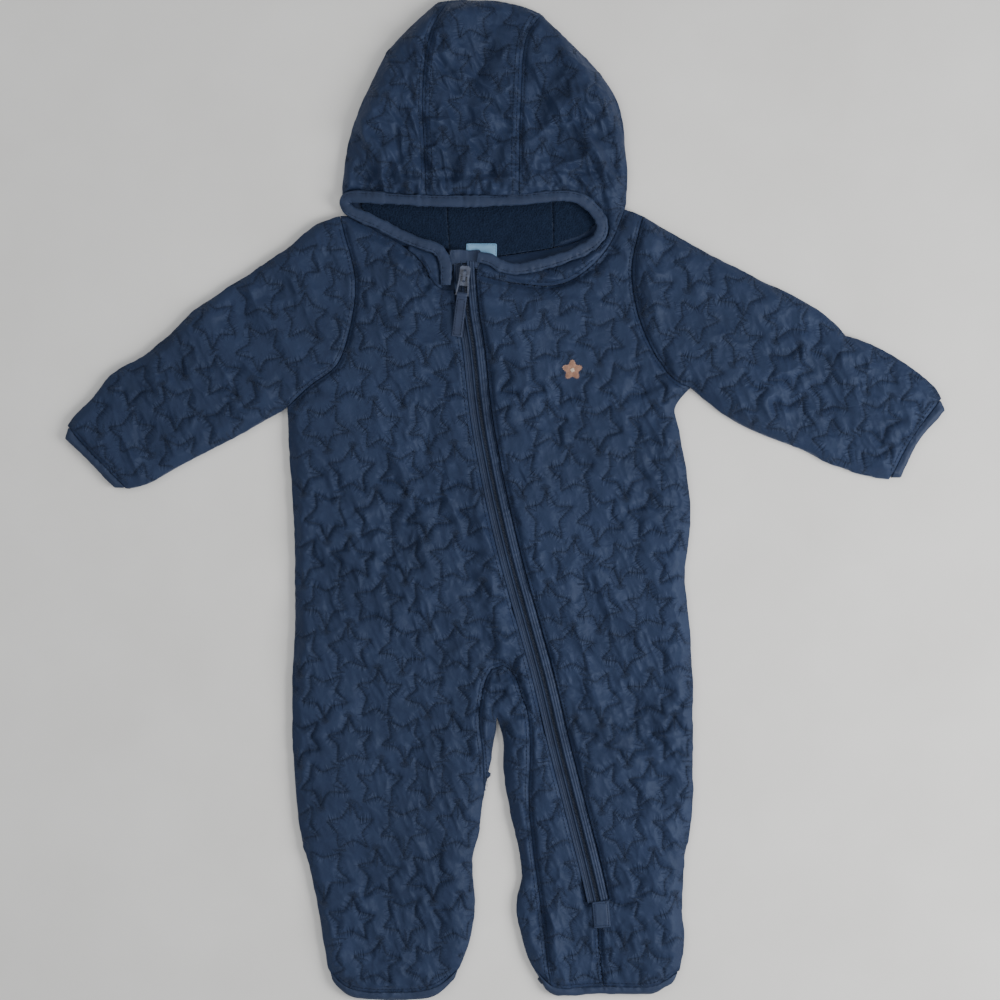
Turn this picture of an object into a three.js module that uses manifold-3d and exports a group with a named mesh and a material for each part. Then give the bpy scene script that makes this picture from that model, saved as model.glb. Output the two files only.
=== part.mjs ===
// A quilted, hooded snowsuit for a baby, lying flat on its back with its sleeves spread.
// Millimetres. +X is toward the wearer's left side, +Y toward the hood and +Z up off the surface.
import * as THREE from "three";
import { mergeVertices } from "three/addons/utils/BufferGeometryUtils.js";
import Module from "manifold-3d";

const wasm = await Module();
wasm.setup();

// Heights of the layers over the surface that the garment lies on
const BACK_TOP = 4.2;
const FRONT_UNDER = 4.5;
const EDGE_TOP = 5.6;
const BODY_LEVEL = 9.4;
const SLEEVE_LEVEL = 10.2;
const HOOD_LEVEL = 17;
const COLLAR_LEVEL = 11;
const COLLAR_UNDER = 6.8;
const LINING = { under: 4.5, top: 5.6 };
const LABEL = { under: 5.9, top: 6.5 };
const TAPE = { under: 6.0, top: 8.0, rib: 9.0, flap: 8.8 };

// Widths and thicknesses
const SEAM_GAP = 0.3;
const HOOD_WALL = 4.2;
const FOLD_WALL = 3;
const TUCK = 2.4;
const BODY_ROUND = 15;
const HOOD_ROUND = 30;
const EDGE_STEP = 11;
const PLAIN_STEP = 26;
const BINDING_WIDTH = 7;
const ZIP_HALF_WIDTH = 9.5;
const SEAM_DIP = { depth: 1.5, width: 4.5 };

// Star quilting: rows of five-pointed stars whose outlines are stitched down
const STAR = { tip: 21.5, waist: 11.5, across: 44, along: 38, puff: 2.3, between: 1.9 };

// Section of a flat binding: share of the way from the opening's edge to the seam, and height
const BAND = [{ across: 0.1, z: 0 }, { across: 0.02, z: 1.6 }, { across: 0.02, z: 4.6 },
  { across: 0.3, z: 6.6 }, { across: 0.7, z: 7.4 }, { across: 0.97, z: 7.2 },
  { across: 0.97, z: 0 }];

const rows = (names, lines) =>
  lines.map((line) => Object.fromEntries(names.split(" ").map((name, i) => [name, line[i]])));

// Outer edges of trunk and legs at each height, then of the gap between the legs
const TRUNK = rows("y right left", [
  [78, -184, 144], [51, -183.5, 149], [0, -180, 157], [-34, -178.5, 156], [-68, -178, 152],
  [-102, -178, 156], [-153, -180, 159], [-204, -180, 159], [-255, -177, 159], [-290, -172, 155],
  [-306, -167, 152], [-344, -159, 150], [-370, -155, 152], [-386, -152, 150.5], [-399, -149, 148],
]);
const LEG_GAP = rows("y right left", [
  [-184, -7, -7], [-204, -9.5, -1.5], [-230, -14, -1], [-255, -19, 3], [-280, -22, 8],
  [-306, -28, 14], [-323, -27, 14], [-344, -26, 10], [-370, -29, 14], [-391, -36, 21],
  [-397, -39, 24],
]);
// Hem bindings: outer edge, and the seam where the leg joins
const HEM_RIGHT = {
  edge: rows("x y", [[-147, -406], [-139, -416], [-125, -422.5], [-98, -424], [-72, -423],
    [-54, -417.5], [-42, -404]]),
  seam: rows("x y", [[-149, -399], [-139, -409], [-125, -415.5], [-98, -417], [-72, -416],
    [-54, -410], [-39, -397]]),
};
const HEM_LEFT = {
  edge: rows("x y", [[28, -404], [34, -414], [46, -420.5], [80, -419], [115, -419.5],
    [130, -417], [145, -406]]),
  seam: rows("x y", [[24, -397], [34, -407], [46, -413.5], [80, -412], [115, -412.5],
    [130, -410], [148, -399]]),
};

// Sleeves: half widths at stations from the cuff, then the armhole seam in the same axes
const SLEEVES = {
  right: {
    cuff: [-351.5, 30.6], angle: 34.2, side: 1,
    cuffEdge: rows("along across", [[-6, 31], [-2, 10], [2, -10], [6, -29]]),
    cuffSeam: rows("along across", [[2, 37.5], [5, 12], [9, -9], [13, -34.5]]),
    upper: rows("along across", [[2, 37.5], [15, 42.5], [30, 45], [60, 52.8], [90, 50.3],
      [120, 53.7], [150, 58.4], [210, 57.2], [250, 58], [272, 60.5], [293, 55]]),
    lower: rows("along across", [[13, -34.5], [30, -41], [60, -43.7], [90, -47.1],
      [120, -50.7], [165, -54]]),
    armhole: rows("along across", [[293, 55], [286, 36], [280, 18], [269, -4], [246, -29],
      [220, -48], [191, -50], [165, -54]]),
  },
  left: {
    cuff: [354.9, 46.8], angle: 150.9, side: -1,
    cuffEdge: rows("along across", [[-2, 35.5], [3.5, 11], [5, -10], [3, -35]]),
    cuffSeam: rows("along across", [[6, 41.5], [10.5, 12], [12, -10], [11, -40]]),
    upper: rows("along across", [[6, 41.5], [16, 47], [30, 50.4], [60, 53.3], [94, 51],
      [101, 47.5], [120, 54.5], [150, 57], [200, 54], [260, 52.5], [302, 54]]),
    lower: rows("along across", [[11, -40], [30, -46.4], [60, -52.1], [90, -53.8],
      [120, -58.4], [150, -60.4], [180, -56.5], [196, -54]]),
    armhole: rows("along across", [[302, 54], [298, 38], [289, 11], [271, -15], [244, -39],
      [214, -54], [196, -54]]),
  },
};

// Hood laid flat: outer edge at each height, crown at the top
const HOOD_RIGHT_EDGE = rows("x y", [[-47, 423], [-59, 420], [-76, 405], [-99, 381], [-118, 344],
  [-131, 310], [-138, 268], [-138, 257]]);
const HOOD_CROWN = rows("x y", [[31, 411.5], [17, 417.5], [-13, 423.5], [-47, 423]]);
const HOOD_LEFT_EDGE = rows("x y", [[102, 250], [103, 280], [98, 327], [84, 357], [55, 388],
  [31, 411.5]]);
const HOOD_SEAM_RIGHT = rows("x y", [[-47, 423], [-64, 392], [-70, 340], [-68, 289], [-67, 257.5]]);
const HOOD_SEAM_LEFT = rows("x y", [[31, 411.5], [17, 387], [13, 332], [12, 298], [12, 257.5]]);
const HOOD_BACK_RIGHT = rows("x y", [[-47, 423], [-52, 340], [-50, 260], [-47, 208]]);
const HOOD_BACK_LEFT = rows("x y", [[31, 411.5], [38, 340], [40, 260], [41, 214]]);
const BACK_NECK = rows("x y", [[-134, 241], [-106, 221], [-47, 208], [-20, 205.5], [41, 214],
  [74, 225], [100, 244]]);

// Face opening: middle line of the binding and the height of that line
const BINDING_PATH = rows("x y z", [[-49, 182, 9.6], [-49.4, 200, 9.6], [-56, 213, 9.4],
  [-72, 218.5, 9.4], [-89, 225.5, 9.3], [-106, 233.5, 9.2], [-121, 240, 9.1], [-131.5, 245, 9.3],
  [-135.5, 251, 9.6], [-132, 256, 10.4], [-121, 256.5, 12.6], [-89, 254, 14.6], [-55, 252.5, 15],
  [-21, 252.5, 15], [13, 254, 15], [38, 256.5, 14.4], [53, 257, 13.4], [65, 254, 12.2],
  [75, 246, 10.8], [82, 235, 10], [81, 225, 9.6], [73, 216.5, 9.6], [60, 210, 9.6],
  [42, 204, 9.6], [21, 199.5, 9.6], [5, 199, 9.6], [-7, 203, 9.6], [-16, 207.5, 9.6],
  [-25, 206, 9.4]]);
const RIM_EDGE_RIGHT = rows("x y", [[-138, 257], [-132, 260.5], [-121, 260.7], [-89, 258.3],
  [-67, 257.5]]);
const RIM_EDGE_CENTRE = rows("x y", [[-67, 257.5], [-40, 256.7], [-10, 257], [12, 257.5]]);
const RIM_EDGE_LEFT = rows("x y", [[12, 257.5], [36, 260.6], [54, 261.2], [68, 257.3],
  [79, 248.6], [86.3, 236], [85.2, 223], [76, 213], [62, 206], [43.5, 199.8], [22, 195.2],
  [4, 194.7], [-9, 198.8], [-16.6, 202.8], [-24.4, 201.6]]);
const NECK_LEFT = rows("x y", [[101, 246], [91, 221], [76, 201], [55, 186], [34, 181.5],
  [13, 183.5], [-4, 186], [-24.4, 191]]);
const NECK_RIGHT = rows("x y", [[-43.3, 178], [-53, 179], [-61, 184], [-66, 194], [-73, 204],
  [-84, 213], [-110, 228], [-134, 240.5]]);
const COLLAR_RIGHT_EDGE = rows("x y", [[-53.2, 180], [-53.7, 197], [-59.5, 208.6], [-73, 213.8],
  [-82, 217.5]]);
const LINING_FRONT = {
  right: rows("x y", [[-122, 248], [-106, 236], [-89, 227], [-72, 220], [-50, 213]]),
  left: rows("x y", [[48, 218], [60, 222], [74, 231], [84, 248]]),
};
const LINING_REACH = 282;
const LABEL_BOX = { left: -33, right: -7, low: 203.5, high: 217.5 };

// Zip: middle line from the neck down to the stop near the left knee, then the seam below it
const ZIP = rows("x y", [[-34.5, 202], [-34, 187], [-31.5, 160], [-26.5, 128], [-22, 85],
  [-17, 51], [-7, 0], [5, -51], [19, -102], [33, -153], [45, -204], [58, -255], [71, -306],
  [79, -340]]);
const LEG_SEAM = rows("x y", [[79, -340], [79, -370], [81, -391], [83.5, -412]]);
const INSEAM_LEFT = rows("x y", [[-2, -140], [6, -146], [13, -162], [20, -187], [21, -220],
  [20, -255], [24, -298], [30, -344], [35, -387], [40, -412]]);
const INSEAM_END_Y = -251;
const INSEAM_RIGHT = rows("x y", [[-2, -140], [-13, -145], [-18.5, -160], [-22, -187],
  [-19, -215], [-18.5, -251]]);

// Largest folds and creases: a ridge has a height over 0 and a trough one under it
const FOLDS = rows("x0 y0 x1 y1 height width", [
  [-62, 88, -68, 20, -1.4, 6], [-68, 20, -82, -38, -1.2, 6], [-17, -10, -5, -130, 2.4, 7],
  [-30, -40, -20, -120, 1.4, 6], [110, 105, 111, -20, -1.3, 8], [-176, 84, -120, 99, -1.5, 5],
  [134, 99, 95, 84, -1.4, 5], [121, 232, 130, 160, 2.6, 8], [-20, 171, 100, 166, 1.3, 5],
  [30, 137, 98, 137, 1.1, 5], [-122, 330, -112, 286, -1.8, 6], [-112, 286, -86, 262, -1.5, 5],
  [66, 312, 96, 262, 2.2, 8], [-20, 380, 2, 300, 1.4, 8], [290, 137, 336, 115, -1.6, 5],
  [336, 115, 357, 86, -1.3, 5], [-240, 150, -200, 178, -1.2, 6], [225, 120, 180, 150, -1.1, 6],
  [-160, -250, -60, -262, 1.2, 7], [-165, -306, -60, -300, -1.3, 6], [30, -300, 150, -312, 1.2, 7],
  [-120, 10, -60, -4, 1.0, 7], [40, -60, 130, -70, 1.1, 7], [-100, -392, -92, -418, -1.0, 4],
  [-70, -390, -66, -416, -1.0, 4], [98, -388, 92, -414, -1.0, 4], [116, -386, 120, -412, -1.0, 4],
]);

// Generic flower embroidered on the wearer's left chest
const FLOWER = { x: 57, y: 110, radius: 7.2, wave: 1.5, petals: 5, under: 10.1, top: 11.2 };
// The stitched patch below the zip's end
const PATCH = { x: 81.5, y: -351, across: 14, along: 22, lean: 5, under: 9.9, top: 10.8 };
// Places where stitching holds the quilting flat
const CALM = rows("x y radius", [[FLOWER.x, FLOWER.y, 12.5], [PATCH.x, PATCH.y, 14]]);

// Zip slider, the bail that turns in its arch, and the cloth pull looped through the bail
const PULL = { x: -34.4, y: 189.5, lean: -7 };
const SLIDER = { wide: 9, tail: 6.4, length: 17, under: 9.4, thick: 2.2 };
const ARCH = { length: 11, height: 4, hole: 6, gap: 2.8, wide: 2.4 };
const BAIL = { bar: 1.3, thick: 1.3, head: 8, foot: 11.4, length: 17 };
const RIBBON = { wide: 8, length: 37, thick: 1.6, loop: 2.4, bore: 1.35 };
const BAIL_Z = SLIDER.under + SLIDER.thick + ARCH.gap / 2;

const COLOURS = {
  shell: 0x2b3856, binding: 0x333f5e, lining: 0x151d33, tape: 0x2a3450, flap: 0x3c4868,
  metal: 0x4a5570, label: 0x9dbbd6, thread: 0xb08a6c,
};

const point = (x, y) => new THREE.Vector2(x, y);
const clamp01 = (t) => Math.min(1, Math.max(0, t));
const smooth = (t) => clamp01(t) ** 2 * (3 - 2 * clamp01(t));
const mix = (a, b, t) => a + (b - a) * t;

/** Even points along a smooth line through the rows of a table. */
function line(table, step = EDGE_STEP) {
  const curve = new THREE.SplineCurve(table.map((row) => point(row.x, row.y)));
  return curve.getSpacedPoints(Math.max(2, Math.round(curve.getLength() / step)));
}

const reversed = (points) => [...points].reverse();

/** One closed run of points from lines that meet end to end, with doubled ends dropped. */
function joined(...lines) {
  const all = lines.flat();
  return all.filter((p, i) => p.distanceTo(all[(i + 1) % all.length]) > 0.6);
}

/** Distance from a place to a run of points. */
function distanceTo(run, x, y, closed = false) {
  let best = Infinity;
  const last = closed ? run.length : run.length - 1;
  for (let i = 0; i < last; i++) {
    const a = run[i];
    const b = run[(i + 1) % run.length];
    const dx = b.x - a.x;
    const dy = b.y - a.y;
    const t = clamp01(((x - a.x) * dx + (y - a.y) * dy) / (dx * dx + dy * dy));
    best = Math.min(best, Math.hypot(x - a.x - dx * t, y - a.y - dy * t));
  }
  return best;
}

function isInside(run, x, y) {
  let inside = false;
  run.forEach((a, i) => {
    const b = run[(i + 1) % run.length];
    const crosses = a.y > y !== b.y > y;
    if (crosses && x < a.x + ((y - a.y) / (b.y - a.y)) * (b.x - a.x)) inside = !inside;
  });
  return inside;
}

/** Unit normal of a run at one of its points, to the left of its direction. */
function leftNormal(run, i, closed) {
  const count = run.length;
  const before = closed ? run[(i + count - 1) % count] : run[Math.max(0, i - 1)];
  const after = closed ? run[(i + 1) % count] : run[Math.min(count - 1, i + 1)];
  const along = after.clone().sub(before).normalize();
  return point(-along.y, along.x);
}

const moved = (run, by, closed = false) =>
  run.map((p, i) => p.clone().addScaledVector(leftNormal(run, i, closed), by));

const anticlockwise = (run) => (THREE.ShapeUtils.isClockWise(run) ? reversed(run) : run);

/** Triangles of a closed outline with points inside it, with every edge of the outline kept. */
function triangulated(outline, inside) {
  const points = [...outline, ...inside];
  const faces = [];
  const owner = new Map();
  const key = (a, b) => a * points.length + b;
  const turn = (a, b, c) =>
    (points[b].x - points[a].x) * (points[c].y - points[a].y) -
    (points[b].y - points[a].y) * (points[c].x - points[a].x);
  const put = (f, a, b, c) => {
    faces[f] = [a, b, c];
    [key(a, b), key(b, c), key(c, a)].forEach((edge) => owner.set(edge, f));
  };
  const inCircle = (a, b, c, d) => {
    const [p, q, r] = [a, b, c].map((i) => points[i].clone().sub(points[d]));
    return (
      p.lengthSq() * (q.x * r.y - q.y * r.x) -
      q.lengthSq() * (p.x * r.y - p.y * r.x) +
      r.lengthSq() * (p.x * q.y - p.y * q.x)
    );
  };
  const settle = (queue) => {
    while (queue.length) {
      const [a, b] = queue.pop();
      const f = owner.get(key(a, b));
      const g = owner.get(key(b, a));
      if (f === undefined || g === undefined) continue;
      const c = faces[f].find((v) => v !== a && v !== b);
      const d = faces[g].find((v) => v !== a && v !== b);
      if (inCircle(a, b, c, d) < 1e-6) continue;
      if (turn(a, d, c) < 1e-6 || turn(d, b, c) < 1e-6) continue;
      owner.delete(key(a, b));
      owner.delete(key(b, a));
      put(f, a, d, c);
      put(g, d, b, c);
      queue.push([a, d], [d, b], [b, c], [c, a]);
    }
  };
  THREE.ShapeUtils.triangulateShape([...outline], []).forEach(([a, b, c], f) =>
    turn(a, b, c) > 0 ? put(f, a, b, c) : put(f, a, c, b));
  settle(faces.flatMap(([a, b, c]) => [[a, b], [b, c], [c, a]]));
  inside.forEach((p, n) => {
    const v = outline.length + n;
    const f = faces.findIndex(([a, b, c]) =>
      turn(a, b, v) >= 0 && turn(b, c, v) >= 0 && turn(c, a, v) >= 0);
    if (f < 0) return;
    const [a, b, c] = faces[f];
    put(f, a, b, v);
    put(faces.length, b, c, v);
    put(faces.length, c, a, v);
    settle([[a, b], [b, c], [c, a]]);
  });
  return faces;
}

/** Points of a staggered grid inside an outline, clear of its edge. */
function plainPoints(outline, step = PLAIN_STEP) {
  const box = new THREE.Box2().setFromPoints(outline);
  const points = [];
  for (let j = 1, y = box.min.y + step / 2; y < box.max.y; j++, y += step * 0.87) {
    for (let x = box.min.x + (j % 2 ? 0.3 : 0.8) * step; x < box.max.x; x += step) {
      const clear = isInside(outline, x, y) && distanceTo(outline, x, y, true) > step * 0.4;
      if (clear) points.push(point(x + 0.01 * j, y));
    }
  }
  return points;
}

/** Stitched stars over an outline: each point says how far the quilting lifts it. */
function starPoints(outline, { x: x0, y: y0, angle = 0 }) {
  const points = [];
  const centre = point(x0, y0);
  const add = (x, y, lift) => {
    const p = point(x, y).rotateAround(centre, THREE.MathUtils.degToRad(angle));
    if (!isInside(outline, p.x, p.y) || distanceTo(outline, p.x, p.y, true) < 3.2) return;
    if (points.some((q) => q.distanceTo(p) < 3.4)) return;
    points.push(Object.assign(p, { lift }));
  };
  const reach = Math.ceil(420 / STAR.along);
  for (let row = -reach; row <= reach; row++) {
    for (let column = -reach; column <= reach; column++) {
      const x = x0 + (column + (row % 2 ? 0.5 : 0)) * STAR.across;
      const y = y0 + row * STAR.along;
      const turned = (row + column) % 2 ? Math.PI : 0;
      add(x, y, STAR.puff);
      for (let i = 0; i < 10; i++) {
        const radius = i % 2 ? STAR.waist : STAR.tip;
        const a = turned + Math.PI / 2 + (i * Math.PI) / 5;
        add(x + radius * Math.cos(a), y + radius * Math.sin(a), 0);
      }
      add(x + STAR.across / 2, y + 3, STAR.between);
      add(x, y + STAR.along / 2 + 3, STAR.between);
    }
  }
  return points;
}

/** Place on a run of points, counted in points from its start. */
function alongRun(run, at) {
  const i = Math.min(run.length - 2, Math.floor(at));
  return run[i].clone().lerp(run[i + 1], at - i);
}

/** Plan of a sleeve: its axes turned and moved from the cuff's middle. */
function sleeveLine(sleeve, table, step) {
  const along = point(1, 0).rotateAround(point(0, 0), THREE.MathUtils.degToRad(sleeve.angle));
  const across = point(-along.y, along.x).multiplyScalar(sleeve.side);
  const placed = table.map((row) => ({
    x: sleeve.cuff[0] + along.x * row.along + across.x * row.across,
    y: sleeve.cuff[1] + along.y * row.along + across.y * row.across,
  }));
  return line(placed, step);
}

const side = (table, name) => table.map((row) => ({ x: row[name], y: row.y }));

// Lines that neighbouring pieces share
const sleevePlan = (sleeve) =>
  Object.fromEntries(["upper", "lower", "armhole", "cuffEdge", "cuffSeam"].map((name) =>
    [name, sleeveLine(sleeve, sleeve[name])]));
const sleeveRight = sleevePlan(SLEEVES.right);
const sleeveLeft = sleevePlan(SLEEVES.left);
const trunkRight = line([sleeveRight.lower.at(-1), ...side(TRUNK, "right").slice(1)]);
const trunkLeft = line([sleeveLeft.lower.at(-1), ...side(TRUNK, "left")]);
const gapRight = line(side(LEG_GAP, "right"));
const gapLeft = line(side(LEG_GAP, "left"));
const hemRight = { edge: line(HEM_RIGHT.edge), seam: line(HEM_RIGHT.seam) };
const hemLeft = { edge: line(HEM_LEFT.edge), seam: line(HEM_LEFT.seam) };
const hoodRight = line(HOOD_RIGHT_EDGE);
const hoodCrown = line(HOOD_CROWN);
const hoodLeft = line(HOOD_LEFT_EDGE);
const hoodSeamRight = line(HOOD_SEAM_RIGHT);
const hoodSeamLeft = line(HOOD_SEAM_LEFT);
const hoodBackRight = line(HOOD_BACK_RIGHT);
const hoodBackLeft = line(HOOD_BACK_LEFT);
const zip = line(ZIP);
const zipRight = moved(zip, -ZIP_HALF_WIDTH);
const zipLeft = moved(zip, ZIP_HALF_WIDTH);
const neckLeft = line(NECK_LEFT);
const neckRight = line(NECK_RIGHT);
const backNeck = line(BACK_NECK);

/** The stretch of a run whose x lies between two values, its ends worked out on the run. */
function between(run, low, high) {
  const at = (x) => {
    const i = run.findIndex((p, n) => n && (p.x - x) * (run[n - 1].x - x) <= 0);
    const t = (x - run[i - 1].x) / (run[i].x - run[i - 1].x);
    return run[i - 1].clone().lerp(run[i], t);
  };
  const ends = [at(low), at(high)];
  const rising = run.at(-1).x > run[0].x;
  const middle = run.filter((p) => p.x > low + 0.5 && p.x < high - 0.5);
  return [rising ? ends[0] : ends[1], ...middle, rising ? ends[1] : ends[0]];
}
const INSEAM_FOOT = 38;
const LEG_SEAM_FOOT = 83;
const hemFront = between(hemLeft.seam, INSEAM_FOOT, LEG_SEAM_FOOT);
const inseamLeft = line([...INSEAM_LEFT.slice(0, -1), hemFront[0]]);
const legSeam = line([...LEG_SEAM.slice(0, -1), hemFront.at(-1)]);
const inseamEnd = gapRight.reduce((best, p) =>
  (Math.abs(p.y - INSEAM_END_Y) < Math.abs(best.y - INSEAM_END_Y) ? p : best));
const inseamRight = line([...INSEAM_RIGHT.slice(0, -1), inseamEnd]);

// The whole garment's outer edge, and the seams that sink between pieces
const SILHOUETTE = joined(
  hoodCrown, hoodRight, reversed(sleeveRight.upper), sleeveRight.cuffEdge, sleeveRight.lower,
  trunkRight, hemRight.edge, reversed(gapRight), gapLeft, hemLeft.edge, reversed(trunkLeft),
  reversed(sleeveLeft.lower), reversed(sleeveLeft.cuffEdge), sleeveLeft.upper, hoodLeft,
);
const SEAMS = [sleeveRight.armhole, sleeveLeft.armhole, zipRight, zipLeft, legSeam, inseamLeft,
  inseamRight, hoodSeamRight, hoodSeamLeft, neckLeft, neckRight, sleeveRight.cuffSeam,
  sleeveLeft.cuffSeam, hemRight.seam, hemLeft.seam];

const toEdge = (x, y) => distanceTo(SILHOUETTE, x, y, true);
const rounded = (d, radius) => Math.sqrt(1 - (1 - clamp01(d / radius)) ** 2);

/** Rise or fall of the large folds at a place. */
function foldLift(x, y) {
  return FOLDS.reduce((sum, fold) => {
    const ends = [point(fold.x0, fold.y0), point(fold.x1, fold.y1)];
    const along = ends[1].clone().sub(ends[0]);
    const t = clamp01(((x - fold.x0) * along.x + (y - fold.y0) * along.y) / along.lengthSq());
    const off = Math.hypot(x - fold.x0 - along.x * t, y - fold.y0 - along.y * t);
    return sum + fold.height * Math.exp(-((off / fold.width) ** 2));
  }, 0);
}

const seamDip = (x, y) =>
  Math.max(...SEAMS.map((seam) =>
    SEAM_DIP.depth * Math.exp(-((distanceTo(seam, x, y) / SEAM_DIP.width) ** 2))));

/** Top of the quilting's stitched lines over a place, for one level of cloth. */
const topAt = (level, radius = BODY_ROUND) => (x, y) => {
  const round = rounded(toEdge(x, y), radius);
  return EDGE_TOP + (level(x, y) - EDGE_TOP + foldLift(x, y) - seamDip(x, y)) * round;
};
const bodyTop = topAt(() => BODY_LEVEL);
const sleeveTop = topAt(() => SLEEVE_LEVEL);
const hoodRise = (x, y) =>
  smooth((y - 225) / 28) * (1 - smooth((x - 55) / 45) * (1 - smooth((y - 238) / 50)));
const hoodTop = topAt((x, y) => mix(COLLAR_LEVEL, HOOD_LEVEL, hoodRise(x, y)), HOOD_ROUND);
const collarTop = topAt(() => COLLAR_LEVEL);
const frontUnder = (x, y) => FRONT_UNDER + 0.6 * Math.max(0, foldLift(x, y));
const hoodUnder = (x, y) => {
  const least = y < 262 ? COLLAR_UNDER : FRONT_UNDER;
  return Math.max(Math.min(least, hoodTop(x, y) - 1.2), hoodTop(x, y) - HOOD_WALL);
};

/** How much of the quilting's lift is left near the places that hold it flat. */
const liveliness = (p) =>
  Math.min(...CALM.map(({ x, y, radius }) => smooth((Math.hypot(p.x - x, p.y - y) - radius) / 8)));

/**
 * Closed wall of cloth. The top layer has an upper and a lower face; a bottom layer, where the
 * cloth folds round under itself, hangs from it along the folded stretches of the outline.
 */
function clothWall({ top, bottom }) {
  const positions = [];
  const openRuns = [top, bottom].flatMap((l) => (l ? l.runs.filter((run) => !run.fold) : []));
  const foldInset = (p) => {
    const room = Math.min(...openRuns.map((run) => distanceTo(run.points, p.x, p.y)));
    return Math.max(SEAM_GAP / 2, Math.min(FOLD_WALL, 0.45 * room));
  };
  const seamRuns = openRuns.filter(({ points }) => {
    const middlePoint = points[Math.floor(points.length / 2)];
    return toEdge(middlePoint.x, middlePoint.y) > 2;
  });
  const tuckInset = (p) => {
    const room = Math.min(...seamRuns.map((run) => distanceTo(run.points, p.x, p.y)));
    return Math.max(SEAM_GAP / 2, Math.min(TUCK, 0.3 * room));
  };
  const layer = ({ runs, quilt, outer, inner }, facesUp) => {
    const plan = anticlockwise(joined(...runs.map((run) => run.points)));
    const folded = (a, b) =>
      runs.some((run) => run.fold && distanceTo(run.points, (a.x + b.x) / 2, (a.y + b.y) / 2) < 0.05);
    const atEdge = (p) => toEdge(p.x, p.y) < 0.3;
    const outline = moved(plan, SEAM_GAP / 2, true);
    const tucked = plan.map((p, i) =>
      p.clone().addScaledVector(leftNormal(plan, i, true), tuckInset(p)));
    const inset = plan.map((p, i) =>
      p.clone().addScaledVector(leftNormal(plan, i, true), foldInset(p)));
    const count = plan.length;
    const folds = plan.map((p, i) => folded(p, plan[(i + 1) % count]));
    const touchesFold = plan.map((p, i) => folds[i] || folds[(i + count - 1) % count]);
    const outerPlan = plan.map((p, i) => (!facesUp && atEdge(p) ? tucked[i] : outline[i]));
    const innerPlan = plan.map((p, i) => (touchesFold[i] ? inset[i] : outline[i]));
    const sides = [[outerPlan, outer, true], [innerPlan, inner, false]];
    const loops = sides.map(([loop, height, isOuter]) => {
      const start = positions.length / 3;
      const stars = isOuter && quilt ? starPoints(loop, quilt) : null;
      const inside = stars ?? (isOuter && !facesUp ? [] : plainPoints(loop));
      [...loop, ...inside].forEach((p) => {
        const fade = clamp01((toEdge(p.x, p.y) - 2) / 9);
        positions.push(p.x, p.y, height(p.x, p.y) + (p.lift ?? 0) * fade * liveliness(p));
      });
      const faces = triangulated(loop, inside);
      const up = isOuter === facesUp;
      return { start, faces: faces.map((f) => (up ? f : [f[0], f[2], f[1]]).map((v) => v + start)) };
    });
    return { plan, folds, count, outer: loops[0], inner: loops[1] };
  };
  const upper = layer(top, true);
  const lower = bottom ? layer(bottom, false) : null;
  const faces = [upper, lower].flatMap((l) => (l ? [...l.outer.faces, ...l.inner.faces] : []));
  const quad = (a, b, c, d) => faces.push([a, b, c], [a, c, d]);
  const partner = (i) =>
    lower.plan.reduce((best, p, j) =>
      p.distanceTo(upper.plan[i]) < lower.plan[best].distanceTo(upper.plan[i]) ? j : best, 0);
  for (let i = 0; i < upper.count; i++) {
    const next = (i + 1) % upper.count;
    const [oa, ob] = [upper.outer.start + i, upper.outer.start + next];
    const [ia, ib] = [upper.inner.start + i, upper.inner.start + next];
    if (!lower || !upper.folds[i]) {
      quad(oa, ia, ib, ob);
      continue;
    }
    const [j, k] = [partner(i), partner(next)];
    quad(oa, lower.outer.start + j, lower.outer.start + k, ob);
    quad(ia, ib, lower.inner.start + k, lower.inner.start + j);
    if (!upper.folds[(i + upper.count - 1) % upper.count])
      quad(oa, ia, lower.inner.start + j, lower.outer.start + j);
    if (!upper.folds[next]) quad(ob, lower.outer.start + k, lower.inner.start + k, ib);
  }
  for (let j = 0; lower && j < lower.count; j++) {
    const next = (j + 1) % lower.count;
    if (!lower.folds[j])
      quad(lower.inner.start + j, lower.outer.start + j, lower.outer.start + next,
        lower.inner.start + next);
  }
  return new THREE.BufferGeometry()
    .setAttribute("position", new THREE.Float32BufferAttribute(positions, 3))
    .setIndex(faces.flat());
}

const garment = new THREE.Group();

function addPiece(name, geometry, colour, parent = garment, roughness = 0.6, metalness = 0) {
  const material = new THREE.MeshStandardMaterial({ color: colour, roughness, metalness });
  const mesh = new THREE.Mesh(geometry, material);
  mesh.name = name;
  parent.add(mesh);
  return mesh;
}

const open = (...runs) => runs.map((points) => ({ points, fold: false }));
const fold = (...runs) => runs.map((points) => ({ points, fold: true }));
const flat = (z) => () => z;
const UNDERSIDE = { outer: flat(0), inner: flat(BACK_TOP) };

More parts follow.
